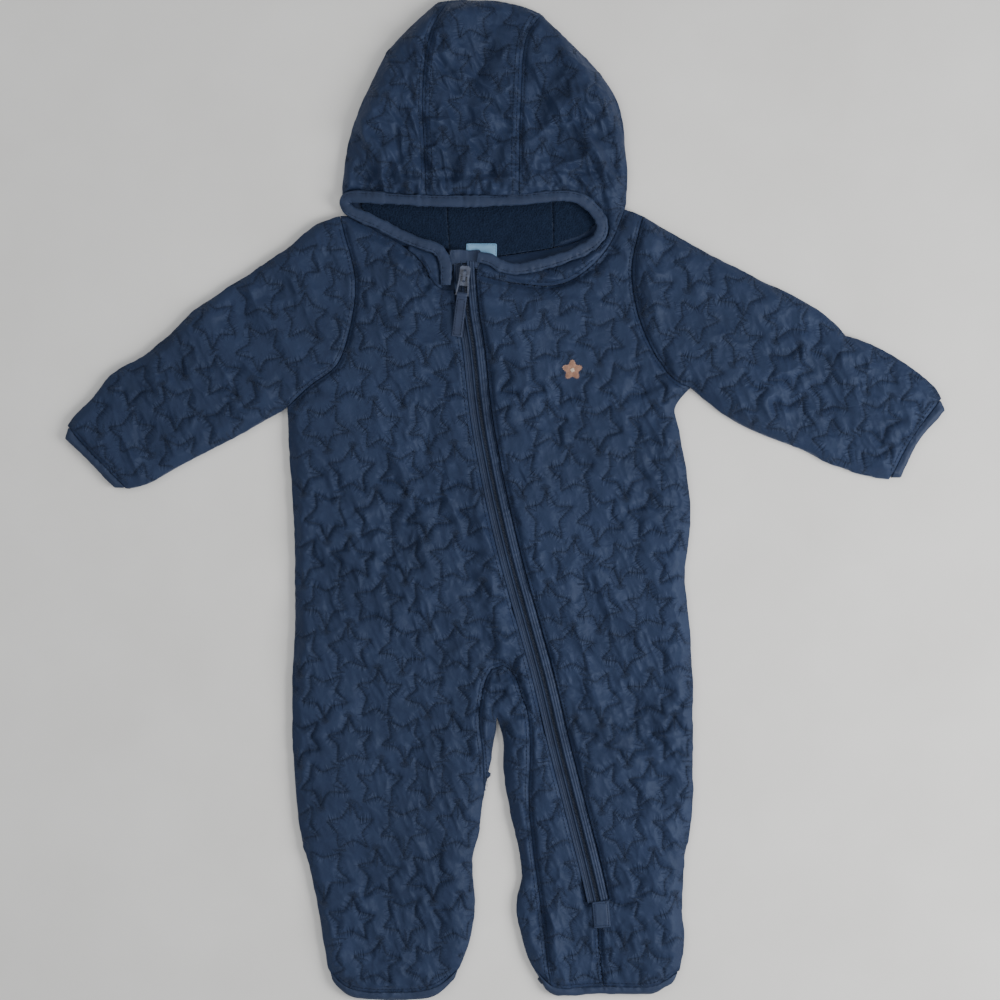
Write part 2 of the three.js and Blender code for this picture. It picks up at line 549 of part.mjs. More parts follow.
/** Trunk and legs: two fronts that meet at the zip, and a back that folds over the inner legs. */
function addTrunk() {
  const quilt = { x: -20, y: -12 };
  const front = (quilting) => ({ quilt: quilting, outer: bodyTop, inner: frontUnder });
  const zipTop = (run, y) => run.filter((p) => p.y < y);
  const rightFront = open(
    neckRight, sleeveRight.armhole, trunkRight, hemRight.seam,
    reversed(gapRight.slice(gapRight.indexOf(inseamEnd))), reversed(inseamRight), inseamLeft,
    hemFront, reversed(legSeam), reversed(zipTop(zipRight, 174)));
  addPiece("front_right", clothWall({ top: { ...front(quilt), runs: rightFront } }), COLOURS.shell);
  const leftFront = open(
    reversed(neckLeft), sleeveLeft.armhole, trunkLeft,
    reversed(between(hemLeft.seam, LEG_SEAM_FOOT, HEM_LEFT.seam.at(-1).x)), reversed(legSeam),
    reversed(zipTop(zipLeft, 187)));
  addPiece("front_left", clothWall({ top: { ...front({ x: 57, y: 24 }), runs: leftFront } }),
    COLOURS.shell);
  const innerLegs = fold(reversed(gapRight.slice(0, gapRight.indexOf(inseamEnd) + 1)), gapLeft);
  const strips = [...innerLegs,
    ...open(between(hemLeft.seam, HEM_LEFT.seam[0].x, INSEAM_FOOT), reversed(inseamLeft), inseamRight)];
  const whole = [
    ...open(backNeck, sleeveLeft.armhole, trunkLeft, reversed(hemLeft.seam)),
    ...fold(reversed(gapLeft), gapRight.slice(0, gapRight.indexOf(inseamEnd) + 1)),
    ...open(gapRight.slice(gapRight.indexOf(inseamEnd)), reversed(hemRight.seam),
      reversed(trunkRight), reversed(sleeveRight.armhole))];
  addPiece("back", clothWall({
    top: { runs: strips, quilt: { x: 2, y: -210 }, outer: bodyTop, inner: frontUnder },
    bottom: { runs: whole, ...UNDERSIDE },
  }), COLOURS.shell);
}

/** A flattened tube: folded along both sides and open at both ends. */
function addTube(name, folds, ends, top, quilt) {
  const runs = [...fold(folds[0]), ...open(ends[0]), ...fold(folds[1]), ...open(ends[1])];
  addPiece(name, clothWall({
    top: { runs, quilt, outer: top, inner: frontUnder },
    bottom: { runs, ...UNDERSIDE },
  }), COLOURS.shell);
}

function addSleeves() {
  const parts = { right: sleeveRight, left: sleeveLeft };
  Object.entries(parts).forEach(([name, plan]) => {
    const { cuff, angle } = SLEEVES[name];
    addTube(`sleeve_${name}`, [plan.upper, reversed(plan.lower)],
      [plan.armhole, reversed(plan.cuffSeam)], sleeveTop, { x: cuff[0], y: cuff[1], angle });
    addBand(`cuff_binding_${name}`, plan.cuffEdge, plan.cuffSeam);
  });
}

/** Elastic binding pressed flat: a rounded band between the opening's edge and its seam. */
function addBand(name, edge, seam) {
  const count = seam.length;
  const positions = [];
  const faces = [];
  const middle = alongRun(edge, (edge.length - 1) / 2);
  const lean = edge.at(-1).clone().sub(edge[0])
    .cross(alongRun(seam, (count - 1) / 2).sub(middle));
  const [first, last] = [SEAM_GAP / 2, count - 1 - SEAM_GAP / 2];
  for (let i = 0; i < count; i++) {
    const at = Math.min(last, Math.max(first, i));
    BAND.forEach(({ across, z }) => {
      const p = alongRun(edge, (at * (edge.length - 1)) / (count - 1))
        .lerp(alongRun(seam, at), across);
      positions.push(p.x, p.y, z);
    });
  }
  const sides = BAND.length;
  for (let i = 0; i < count - 1; i++) {
    for (let k = 0; k < sides; k++) {
      const [a, b] = [i * sides + k, i * sides + ((k + 1) % sides)];
      faces.push([a, a + sides, b + sides], [a, b + sides, b]);
    }
  }
  const end = (count - 1) * sides;
  for (let k = 2; k < sides; k++) faces.push([0, k - 1, k], [end, end + k, end + k - 1]);
  const outward = lean > 0 ? faces : faces.map(([a, b, c]) => [a, c, b]);
  addPiece(name, new THREE.BufferGeometry()
    .setAttribute("position", new THREE.Float32BufferAttribute(positions, 3))
    .setIndex(outward.flat()), COLOURS.binding);
}

function addHems() {
  Object.entries({ right: hemRight, left: hemLeft }).forEach(([name, { edge, seam }]) =>
    addBand(`hem_binding_${name}`, edge, seam));
}

/** Hood: a middle strip and two sides, each folded round the hood's outer edge to the back. */
function addHood() {
  const layers = { outer: hoodTop, inner: hoodUnder };
  const piece = (name, edge, topRuns, backRuns, quilt) =>
    addPiece(name, clothWall({
      top: { runs: [...fold(edge), ...open(...topRuns)], quilt, ...layers },
      bottom: { runs: [...fold(edge), ...open(...backRuns)], ...UNDERSIDE },
    }), COLOURS.shell);
  const neckMiddle = between(backNeck, HOOD_BACK_RIGHT.at(-1).x, HOOD_BACK_LEFT.at(-1).x);
  const neckStart = between(backNeck, BACK_NECK[0].x, HOOD_BACK_RIGHT.at(-1).x);
  const neckEnd = between(backNeck, HOOD_BACK_LEFT.at(-1).x, BACK_NECK.at(-1).x);
  piece("hood_centre", hoodCrown, [hoodSeamRight, line(RIM_EDGE_CENTRE), reversed(hoodSeamLeft)],
    [hoodBackRight, neckMiddle, reversed(hoodBackLeft)], { x: -28, y: 330 });
  piece("hood_side_right", hoodRight, [line(RIM_EDGE_RIGHT), reversed(hoodSeamRight)],
    [neckStart, reversed(hoodBackRight)], { x: -96, y: 318, angle: 12 });
  piece("hood_side_left", reversed(hoodLeft),
    [neckLeft, reversed(line(RIM_EDGE_LEFT)), reversed(hoodSeamLeft)],
    [reversed(neckEnd), reversed(hoodBackLeft)], { x: 58, y: 316, angle: -12 });
  const collar = open(between(neckRight, -82, -53.2), reversed(line(COLLAR_RIGHT_EDGE)));
  addPiece("collar_right", clothWall({
    top: { runs: collar, outer: collarTop, inner: flat(COLLAR_UNDER) },
  }), COLOURS.shell);
}

/** A flat sheet between two heights over a plan. */
function slab(runs, under, top) {
  return clothWall({ top: { runs: open(...runs), outer: flat(top), inner: flat(under) } });
}

/** Fleece lining where it shows inside the face opening, with the plain neck label on it. */
function addLining() {
  const reach = (run) => run.filter((p) => p.y < LINING_REACH);
  const backRight = reach(hoodBackRight);
  const backLeft = reach(hoodBackLeft);
  const neckMiddle = between(backNeck, HOOD_BACK_RIGHT.at(-1).x, HOOD_BACK_LEFT.at(-1).x);
  const outlines = {
    centre: [backRight, neckMiddle, reversed(backLeft)],
    right: [[point(-116, LINING_REACH - 4)], line(LINING_FRONT.right), reversed(backRight)],
    left: [backLeft, line(LINING_FRONT.left), [point(78, LINING_REACH - 4)]],
  };
  Object.entries(outlines).forEach(([name, runs]) =>
    addPiece(`hood_lining_${name}`, slab(runs, LINING.under, LINING.top), COLOURS.lining,
      garment, 0.95));
  const { left, right, low, high } = LABEL_BOX;
  const corners = [point(left, low), point(right, low), point(right, high), point(left, high)];
  addPiece("neck_label", slab([corners], LABEL.under, LABEL.top), COLOURS.label);
}

/** Elastic binding round the face opening: one rounded band that follows its middle line. */
function addHoodBinding() {
  const half = { wide: BINDING_WIDTH / 2, high: 2.6 };
  const route = new THREE.CatmullRomCurve3(
    BINDING_PATH.map((row) => new THREE.Vector3(row.x, row.y, row.z)), false, "centripetal");
  const steps = Math.round(route.getLength() / 7);
  const sides = 8;
  const positions = [];
  const faces = [];
  route.getSpacedPoints(steps).forEach((p, i) => {
    const along = route.getTangentAt(i / steps).setZ(0).normalize();
    for (let k = 0; k < sides; k++) {
      const a = ((k + 0.5) / sides) * 2 * Math.PI;
      const wide = (half.wide * Math.cos(a)) / Math.cos(Math.PI / sides);
      positions.push(p.x + along.y * wide, p.y - along.x * wide, p.z + half.high * Math.sin(a));
      if (i < steps) {
        const [q, r] = [i * sides + k, i * sides + ((k + 1) % sides)];
        faces.push([q, r + sides, r], [q, q + sides, r + sides]);
      }
      if (k > 1 && i === 0) faces.push([0, k - 1, k]);
      if (k > 1 && i === steps) faces.push([i * sides, i * sides + k, i * sides + k - 1]);
    }
  });
  const geometry = new THREE.BufferGeometry()
    .setAttribute("position", new THREE.Float32BufferAttribute(positions, 3))
    .setIndex(faces.flat());
  addPiece("hood_binding", geometry, COLOURS.binding);
}

/** Zip tapes on each side of the coil, and the stitched patch below the zip's end. */
function addZip() {
  const tape = (name, edge, top, colour) => {
    const coil = moved(zip, name === "right" ? -0.35 : 0.35);
    addPiece(`zip_tape_${name}`, slab([coil, reversed(edge)], TAPE.under, top), colour);
  };
  tape("right", zipRight, TAPE.top, COLOURS.tape);
  tape("left", zipLeft, TAPE.flap, COLOURS.flap);
}

/** A plan shape as a plate between two heights. */
function plate(shape, thick, z = 0) {
  return new THREE.ExtrudeGeometry(shape, { depth: thick, bevelEnabled: false, curveSegments: 5 })
    .translate(0, 0, z);
}

function addTrims() {
  const petals = FLOWER.petals * 8;
  const outline = Array.from({ length: petals }, (_, i) => {
    const a = (i / petals) * 2 * Math.PI;
    const radius = FLOWER.radius + FLOWER.wave * Math.cos(FLOWER.petals * a);
    return point(FLOWER.x + radius * Math.sin(a), FLOWER.y + radius * Math.cos(a));
  });
  addPiece("chest_flower", plate(new THREE.Shape(outline), FLOWER.top - FLOWER.under, FLOWER.under),
    COLOURS.thread);
  const patch = new THREE.BoxGeometry(PATCH.across, PATCH.along, PATCH.top - PATCH.under)
    .rotateZ(THREE.MathUtils.degToRad(PATCH.lean))
    .translate(PATCH.x, PATCH.y, (PATCH.top + PATCH.under) / 2);
  addPiece("zip_end_patch", patch, COLOURS.binding);
}

function solidOf(geometry) {
  const loose = geometry.index ? geometry.toNonIndexed() : geometry;
  const bare = new THREE.BufferGeometry()
    .setAttribute("position", loose.getAttribute("position"));
  const merged = mergeVertices(bare, 1e-4);
  return new wasm.Manifold(new wasm.Mesh({
    numProp: 3,
    vertProperties: merged.attributes.position.array,
    triVerts: new Uint32Array(merged.index.array),
  }));
}

function geometryOf(solid) {
  const mesh = solid.getMesh();
  return new THREE.BufferGeometry()
    .setAttribute("position", new THREE.Float32BufferAttribute(mesh.vertProperties, 3))
    .setIndex([...mesh.triVerts]);
}

/** A side view drawn in Y and Z, extruded across X about its middle. */
function crosswise(shape, wide) {
  const geometry = new THREE.ExtrudeGeometry(shape, { depth: wide, bevelEnabled: false, curveSegments: 6 })
    .translate(0, 0, -wide / 2);
  const turn = new THREE.Matrix4().makeBasis(
    new THREE.Vector3(0, 1, 0), new THREE.Vector3(0, 0, 1), new THREE.Vector3(1, 0, 0));
  return geometry.applyMatrix4(turn);
}

const polygon = (points) => new THREE.Shape(points.map(([x, y]) => point(x, y)));

function addSlider() {
  const { wide, tail, length, under, thick } = SLIDER;
  const half = length / 2;
  const body = plate(polygon([[-tail / 2, -half], [tail / 2, -half], [wide / 2, -half / 3],
    [wide / 2, half - 1.5], [wide / 2 - 1.5, half], [1.6 - wide / 2, half],
    [-wide / 2, half - 1.5], [-wide / 2, -half / 3]]), thick, under);
  const foot = under + thick - 0.5;
  const crown = under + thick + ARCH.height;
  const side = polygon([[-ARCH.length / 2, foot], [ARCH.length / 2, foot],
    [ARCH.length / 2 - 1.4, crown - 0.6], [ARCH.length / 2 - 2.4, crown],
    [2.4 - ARCH.length / 2, crown], [1.4 - ARCH.length / 2, crown - 0.6]]);
  side.holes.push(new THREE.Path([[-ARCH.hole / 2, under + thick], [ARCH.hole / 2, under + thick],
    [ARCH.hole / 2, under + thick + ARCH.gap], [-ARCH.hole / 2, under + thick + ARCH.gap]]
    .map(([x, y]) => point(x, y)).reverse()));
  const arch = crosswise(side, ARCH.wide);
  return geometryOf(solidOf(body).add(solidOf(arch)));
}

function bailShape() {
  const { bar, head, foot, length } = BAIL;
  const shape = polygon([[-foot / 2, -length], [foot / 2, -length], [head / 2, bar / 2],
    [-head / 2, bar / 2]]);
  const inner = [[-foot / 2 + bar, bar - length], [foot / 2 - bar, bar - length],
    [head / 2 - bar, -bar / 2], [bar - head / 2, -bar / 2]];
  shape.holes.push(new THREE.Path(inner.map(([x, y]) => point(x, y)).reverse()));
  return shape;
}

function ribbonShape() {
  const { length, thick, loop, bore } = RIBBON;
  const eye = BAIL.bar / 2 - BAIL.length;
  const rise = Math.asin(thick / 2 / loop);
  const shape = new THREE.Shape();
  shape.absarc(eye, 0, loop, Math.PI + rise, Math.PI * 3 - rise, false);
  shape.lineTo(eye - length, thick / 2);
  shape.lineTo(eye - length, -thick / 2);
  shape.closePath();
  shape.holes.push(new THREE.Path().absarc(eye, 0, bore, 0, 2 * Math.PI, true));
  return shape;
}

/** Slider on the coil, with the bail and cloth pull that swing on its arch. */
function addPull() {
  const lean = THREE.MathUtils.degToRad(PULL.lean);
  const holder = new THREE.Group();
  holder.position.set(PULL.x, PULL.y, 0);
  holder.rotation.z = lean;
  garment.add(holder);
  addPiece("zip_slider", addSlider(), COLOURS.metal, holder, 0.4, 0.6);
  const swing = new THREE.Group();
  swing.position.z = BAIL_Z;
  holder.add(swing);
  const bail = plate(bailShape(), BAIL.thick, -BAIL.thick / 2);
  addPiece("pull_bail", bail, COLOURS.metal, swing, 0.4, 0.6);
  addPiece("pull_ribbon", crosswise(ribbonShape(), RIBBON.wide), COLOURS.binding, swing);
}

addTrunk();
addSleeves();
addHems();
addHood();
addLining();
addHoodBinding();
addZip();
addTrims();
addPull();

// The origin is the middle of the garment's outline, on the surface that it lies on
const extent = new THREE.Box3().setFromObject(garment);
const middle = extent.getCenter(new THREE.Vector3());
garment.position.set(-middle.x, -middle.y, -extent.min.z);

export default garment;
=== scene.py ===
"""A quilted, hooded baby snowsuit laid flat: its cloth, zip, bindings and finishes."""

import enum
import logging
import math
from dataclasses import dataclass, field
from typing import Callable, Iterable, Sequence

import bpy
import numpy as np
from mathutils.geometry import delaunay_2d_cdt
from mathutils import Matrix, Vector


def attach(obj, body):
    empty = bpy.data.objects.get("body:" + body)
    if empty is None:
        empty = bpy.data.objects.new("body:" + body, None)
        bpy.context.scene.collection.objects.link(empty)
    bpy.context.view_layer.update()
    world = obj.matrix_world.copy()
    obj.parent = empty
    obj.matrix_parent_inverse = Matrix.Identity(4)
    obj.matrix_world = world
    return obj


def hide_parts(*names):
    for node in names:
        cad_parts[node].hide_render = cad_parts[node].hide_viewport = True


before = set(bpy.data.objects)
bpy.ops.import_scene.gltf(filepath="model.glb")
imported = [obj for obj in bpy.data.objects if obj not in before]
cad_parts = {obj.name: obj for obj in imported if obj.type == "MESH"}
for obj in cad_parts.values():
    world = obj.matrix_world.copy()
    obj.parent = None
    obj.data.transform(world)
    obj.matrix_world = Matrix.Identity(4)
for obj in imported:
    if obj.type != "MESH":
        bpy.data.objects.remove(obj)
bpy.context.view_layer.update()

log = logging.getLogger("snowsuit")
MM = 0.001
Plan = np.ndarray
Height = Callable[[Plan], np.ndarray]

# Heights of the cloth over the surface, in millimetres
EDGE_TOP = 5.0
BODY_LEVEL = 10.2
SLEEVE_LEVEL = 11.0
HOOD_LEVEL = 17.4
COLLAR_LEVEL = 11.6
UNDER_FRONT = 4.6
COLLAR_UNDER = 6.9
BACK_TOP = 4.1
BODY_ROUND = 16.0
HOOD_ROUND = 30.0


class Side(enum.Enum):
    """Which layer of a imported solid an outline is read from."""

    TOP = 1
    UNDERSIDE = -1


class Lip(enum.Enum):
    """How a panel's edge turns down at the garment's outer edge: rows of inset and height."""

    SEAMED = ((-0.3, 4.0), (-0.2, 3.2), (1.0, 2.9), (3.2, UNDER_FRONT))
    FOLDED = ((-0.4, 2.9), (0.5, 1.0), (2.3, 0.3), (3.4, UNDER_FRONT))
    BACK = ((0.4, 0.9), (-0.2, 1.8), (0.4, 2.6), (3.2, BACK_TOP))
    INNER = ((3.0, 0.6), (2.8, 1.6), (2.8, 3.0), (3.4, BACK_TOP))


def smooth(t: np.ndarray | float) -> np.ndarray | float:
    """Ease a value from 0 to 1."""
    t = np.clip(t, 0.0, 1.0)
    return t * t * (3.0 - 2.0 * t)


def hashed(ix: np.ndarray, iy: np.ndarray, seed: int) -> np.ndarray:
    """Repeatable random values from -1 to 1 for whole-number places."""
    n = ix.astype(np.int64) * 374761393 + iy.astype(np.int64) * 668265263 + seed * 2246822519
    n = (n ^ (n >> 13)) * 1274126177
    n = (n ^ (n >> 16)) & 0x7FFFFFFF
    return n / 0x3FFFFFFF - 1.0


def noise(p: Plan, size: float, seed: int) -> np.ndarray:
    """Smooth noise over the plan.

    Args:
        p: places in millimetres.
        size: width of one blotch, in millimetres.
        seed: which pattern.

    Returns:
        Values from about -1 to 1.
    """
    q = p / size
    cell = np.floor(q)
    f = q - cell
    w = f * f * f * (f * (f * 6 - 15) + 10)
    ix, iy = cell[:, 0], cell[:, 1]
    low = hashed(ix, iy, seed) * (1 - w[:, 0]) + hashed(ix + 1, iy, seed) * w[:, 0]
    high = hashed(ix, iy + 1, seed) * (1 - w[:, 0]) + hashed(ix + 1, iy + 1, seed) * w[:, 0]
    return low * (1 - w[:, 1]) + high * w[:, 1]


def crumple(p: Plan, size: float, seed: int) -> np.ndarray:
    """Sharp-edged creases: warped noise folded at its middle, from -1 in a crease to 1."""
    warp = np.column_stack([noise(p, size * 1.7, seed + 11), noise(p, size * 1.7, seed + 23)])
    return 1.0 - 2.4 * np.abs(noise(p + warp * size * 0.55, size, seed))


def resampled(line: Plan, step: float) -> Plan:
    """Even points along a line."""
    gaps = np.linalg.norm(np.diff(line, axis=0), axis=1)
    along = np.concatenate([[0.0], np.cumsum(gaps)])
    count = max(2, int(round(along[-1] / step)) + 1)
    t = np.linspace(0.0, along[-1], count)
    return np.column_stack([np.interp(t, along, line[:, k]) for k in range(line.shape[1])])


def curve(points: Sequence[Sequence[float]], step: float = 1.5) -> Plan:
    """Smooth line through hand-placed points, with even steps."""
    p = np.array(points, float)
    ends = np.vstack([2 * p[0] - p[1], p, 2 * p[-1] - p[-2]])
    t = np.linspace(0, 1, 12, endpoint=False)[:, None]
    parts = []
    for i in range(1, len(ends) - 2):
        a, b, c, d = ends[i - 1:i + 3]
        parts.append(0.5 * (2 * b + (c - a) * t + (2 * a - 5 * b + 4 * c - d) * t ** 2
                            + (3 * b - a - 3 * c + d) * t ** 3))
    return resampled(np.vstack(parts + [p[-1:]]), step)


def normals_of(line: Plan, closed: bool = False) -> Plan:
    """Unit normals to the left of a line's direction."""
    if closed:
        ahead, behind = np.roll(line, -1, axis=0), np.roll(line, 1, axis=0)
    else:
        ahead = np.vstack([line[1:], line[-1:]])
        behind = np.vstack([line[:1], line[:-1]])
    d = ahead - behind
    d /= np.maximum(np.linalg.norm(d, axis=1, keepdims=True), 1e-9)
    return np.column_stack([-d[:, 1], d[:, 0]])


def inside(outline: Plan, p: Plan) -> np.ndarray:
    """True for the places that lie inside a closed outline."""
    result = np.zeros(len(p), bool)
    for a, b in zip(outline, np.roll(outline, -1, axis=0)):
        if a[1] == b[1]:
            continue
        rows = (p[:, 1] < a[1]) != (p[:, 1] < b[1])
        x = a[0] + (p[rows, 1] - a[1]) / (b[1] - a[1]) * (b[0] - a[0])
        result[np.flatnonzero(rows)[p[rows, 0] < x]] ^= True
    return result


class PlanMap:
    """Distances to stitched or cut lines over a rectangle of the plan, in millimetres."""

    def __init__(self, low: Sequence[float], high: Sequence[float], step: float,
                 reach: float) -> None:
        """Start with every place out of reach of any line.

        Args:
            low: lowest corner.
            high: highest corner.
            step: grid step.
            reach: distance at which a line stops counting.
        """
        self.low, self.step, self.reach = np.array(low, float) - 2 * step, step, reach
        self.shape = tuple(int((high[k] - low[k]) / step) + 6 for k in (1, 0))
        self.distance = np.full(self.shape, reach, np.float32)
        self.along = np.zeros(self.shape, np.float32)

    def stamp(self, line: Plan, start: float = 0.0, closed: bool = False) -> None:
        """Lower the distances near a line and note how far along it they lie."""
        ends = np.vstack([line, line[:1]]) if closed else line
        at = start
        for a, b in zip(ends[:-1], ends[1:]):
            span = b - a
            length = float(np.hypot(*span))
            if length < 1e-6:
                continue
            lo = np.floor((np.minimum(a, b) - self.reach - self.low) / self.step).astype(int)
            hi = np.ceil((np.maximum(a, b) + self.reach - self.low) / self.step).astype(int)
            c0, r0 = np.maximum(lo, 0)
            c1, r1 = min(hi[0], self.shape[1]), min(hi[1], self.shape[0])
            if c0 >= c1 or r0 >= r1:
                at += length
                continue
            x = self.low[0] + np.arange(c0, c1) * self.step - a[0]
            y = (self.low[1] + np.arange(r0, r1) * self.step - a[1])[:, None]
            t = np.clip((x * span[0] + y * span[1]) / length ** 2, 0, 1)
            d = np.hypot(x - t * span[0], y - t * span[1])
            window = (slice(r0, r1), slice(c0, c1))
            nearer = d < self.distance[window]
            self.distance[window][nearer] = d[nearer]
            self.along[window][nearer] = (at + t * length)[nearer]
            at += length

    def read(self, values: np.ndarray, p: Plan) -> np.ndarray:
        """Values of a map at some places, blended between its grid points."""
        q = (p - self.low) / self.step
        q = np.clip(q, 0, np.array(self.shape[::-1]) - 1.001)
        c, r = q.astype(int).T
        fx, fy = (q - np.floor(q)).T
        top = values[r, c] * (1 - fx) + values[r, c + 1] * fx
        bottom = values[r + 1, c] * (1 - fx) + values[r + 1, c + 1] * fx
        return top * (1 - fy) + bottom * fy


def loops_of(faces: np.ndarray) -> list[list[int]]:
    """Closed runs of vertices round the open edges of some triangles."""
    edges = np.vstack([faces[:, [0, 1]], faces[:, [1, 2]], faces[:, [2, 0]]])
    keys = {(int(a), int(b)) for a, b in edges}
    following: dict[int, list[int]] = {}
    for a, b in keys:
        if (b, a) not in keys:
            following.setdefault(a, []).append(b)
    loops = []
    while following:
        start = next(iter(following))
        loop, at = [], start
        while at in following:
            loop.append(at)
            nexts = following[at]
            at = nexts.pop()
            if not nexts:
                del following[loop[-1]]
            if at == start:
                break
        loops.append(loop)
    return loops


def packed_outline(node: str, side: Side) -> tuple[Plan, np.ndarray]:
    """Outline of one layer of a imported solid, seen from above.

    Args:
        node: name of the solid.
        side: its top, or its underside.

    Returns:
        The outline's points in millimetres, anticlockwise, and their heights.
    """
    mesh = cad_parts[node].data
    co = np.empty(len(mesh.vertices) * 3, np.float64)
    mesh.vertices.foreach_get("co", co)
    co = co.reshape(-1, 3) / MM
    mesh.calc_loop_triangles()
    tris = np.empty(len(mesh.loop_triangles) * 3, np.int64)
    mesh.loop_triangles.foreach_get("vertices", tris)
    _, first, back = np.unique(np.round(co, 3), axis=0, return_index=True, return_inverse=True)
    co, tris = co[first], back.reshape(-1)[tris].reshape(-1, 3)
    n = np.cross(co[tris[:, 1]] - co[tris[:, 0]], co[tris[:, 2]] - co[tris[:, 0]])
    n /= np.maximum(np.linalg.norm(n, axis=1, keepdims=True), 1e-12)
    facing = tris[n[:, 2] * side.value > 0.15]
    loops = [loop for loop in loops_of(facing) if len(loop) > 3]
    best = max(loops, key=lambda loop: side.value * co[loop, 2].mean())
    ring = co[best]
    x, y = ring[:, 0], ring[:, 1]
    if np.dot(x, np.roll(y, -1)) < np.dot(y, np.roll(x, -1)):
        ring = ring[::-1]
    return ring[:, :2], ring[:, 2]


def rounded_outline(points: Plan, heights: np.ndarray) -> tuple[Plan, np.ndarray]:
    """An outline with its long chords bent into curves, its corners kept."""
    count = len(points)
    steps, carried = [], []
    d = np.roll(points, -1, axis=0) - points
    heading = np.arctan2(d[:, 1], d[:, 0])
    turn = np.abs((heading - np.roll(heading, 1) + np.pi) % (2 * np.pi) - np.pi)
    corner = turn > math.radians(38)
    chord = np.maximum(np.linalg.norm(d, axis=1, keepdims=True), 1e-6)
    before, way = np.roll(chord, 1, axis=0), d / chord
    tangent = np.roll(way, 1, axis=0) * chord + way * before
    tangent /= np.maximum(np.linalg.norm(tangent, axis=1, keepdims=True), 1e-9)
    for i in range(count):
        j = (i + 1) % count
        b, c = points[i], points[j]
        m0 = (c - b) if corner[i] else tangent[i] * chord[i]
        m1 = (c - b) if corner[j] else tangent[j] * chord[i]
        pieces = max(1, int(np.linalg.norm(c - b) / 2.0))
        t = (np.arange(pieces) / pieces)[:, None]
        steps.append((2 * t ** 3 - 3 * t ** 2 + 1) * b + (t ** 3 - 2 * t ** 2 + t) * m0
                     + (3 * t ** 2 - 2 * t ** 3) * c + (t ** 3 - t ** 2) * m1)
        carried.append(heights[i] * (1 - t[:, 0]) + heights[(i + 1) % count] * t[:, 0])
    return np.vstack(steps), np.concatenate(carried)


@dataclass
class Fold:
    """One large fold: a soft ridge where height is over 0, and a trough under it."""

    start: tuple[float, float]
    end: tuple[float, float]
    height: float
    width: float

    def lift(self, p: Plan) -> np.ndarray:
        """Rise of the cloth at some places, with the fold's ends faded and its line uneven."""
        a, b = np.array(self.start), np.array(self.end)
        span = b - a
        length = float(np.hypot(*span))
        t = (p - a) @ span / length ** 2
        wander = noise(p, 22.0, 5) * self.width * 0.35
        off = (p - a) @ np.array([-span[1], span[0]]) / length + wander
        fade = smooth(t * 4 + 0.5) * smooth((1 - t) * 4 + 0.5)
        across = np.abs(off) / self.width
        shape = np.exp(-across ** 1.5) if self.height < 0 else np.exp(-across ** 2)
        return self.height * fade * shape


@dataclass(frozen=True)
class Star:
    """Size of one stitched star and of the grid that it repeats on, in millimetres."""

    tip: float = 20.6
    waist: float = 10.4
    across: float = 44.0
    along: float = 38.0


@dataclass(frozen=True)
class Quilt:
    """Stitched stars over a panel: the middle of one star, and the turn of its grid."""

    x: float
    y: float
    turn: float = 0.0
    star: Star = Star()
    puff: float = 1.9
    pull: float = 3.0

    def stars(self, low: Plan, high: Plan) -> list[Plan]:
        """Closed outlines of the stars that reach a rectangle."""
        s, found = self.star, []
        turn = math.radians(self.turn)
        axes = np.array([[math.cos(turn), math.sin(turn)], [-math.sin(turn), math.cos(turn)]])
        reach = 22
        for row in range(-reach, reach + 1):
            for column in range(-reach, reach + 1):
                grid = np.array([(column + 0.5 * (row % 2)) * s.across, row * s.along])
                centre = np.array([self.x, self.y]) + grid @ axes
                if np.any(centre < low - s.tip) or np.any(centre > high + s.tip):
                    continue
                wobble = hashed(np.array([row]), np.array([column]), 3)[0] * 0.12
                flip = math.pi if (row + column) % 2 else 0.0
                a = flip + turn + wobble + math.pi / 2 + np.arange(11) * math.pi / 5
                radius = np.where(np.arange(11) % 2, s.waist, s.tip)
                corners = centre + np.column_stack([np.cos(a), np.sin(a)]) * radius[:, None]
                found.append(self.drawn_up(resampled(corners, 2.4)[:-1]))
        return found

    def drawn_up(self, p: Plan) -> Plan:
        """Stitched places after the padding has drawn the cloth up unevenly."""
        pull = np.column_stack([noise(p, 31.0, 201), noise(p, 31.0, 203)]) * self.pull
        fine = np.column_stack([noise(p, 9.0, 205), noise(p, 9.0, 207)]) * self.pull * 0.3
        return p + pull + fine

    def stitched(self, low: Plan, high: Plan) -> PlanMap:
        """Distances to the stitched lines over a rectangle."""
        lines = PlanMap(low, high, 0.6, 11.0)
        for i, star in enumerate(self.stars(low, high)):
            lines.stamp(star, start=i * 31.0, closed=True)
        return lines

    def lift(self, lines: PlanMap, p: Plan) -> np.ndarray:
        """Rise of the padding between the stitched lines, with the puckers beside them."""
        d, along = lines.read(lines.distance, p), lines.read(lines.along, p)
        dome = 1.0 - (1.0 - np.clip(d / 7.0, 0.0, 1.0)) ** 2.2
        uneven = 1.0 + 0.45 * noise(p, 33.0, 41) + 0.25 * noise(p, 12.0, 43)
        ripple = noise(np.column_stack([along, d * 0.16]), 2.7, 7)
        near = np.exp(-d / 4.6) * (1.0 - np.exp(-(d / 1.1) ** 2)) * (1 - smooth((d - 2.5) / 4.5))
        broken = 0.7 + 0.5 * noise(p, 21.0, 47)
        clear = np.clip(0.78 + 0.6 * noise(p, 48.0, 49), 0.3, 1.15)
        clear = clear * (1 - 0.5 * smooth((p[:, 1] - 225) / 40)) * (
            1 - 0.3 * smooth((p[:, 1] - 90) / 50))
        return (self.puff * dome * uneven + 1.25 * ripple * near * broken
                - 0.55 * np.exp(-(d / 1.0) ** 2)) * clear + self.puff * 0.6 * (1 - clear)


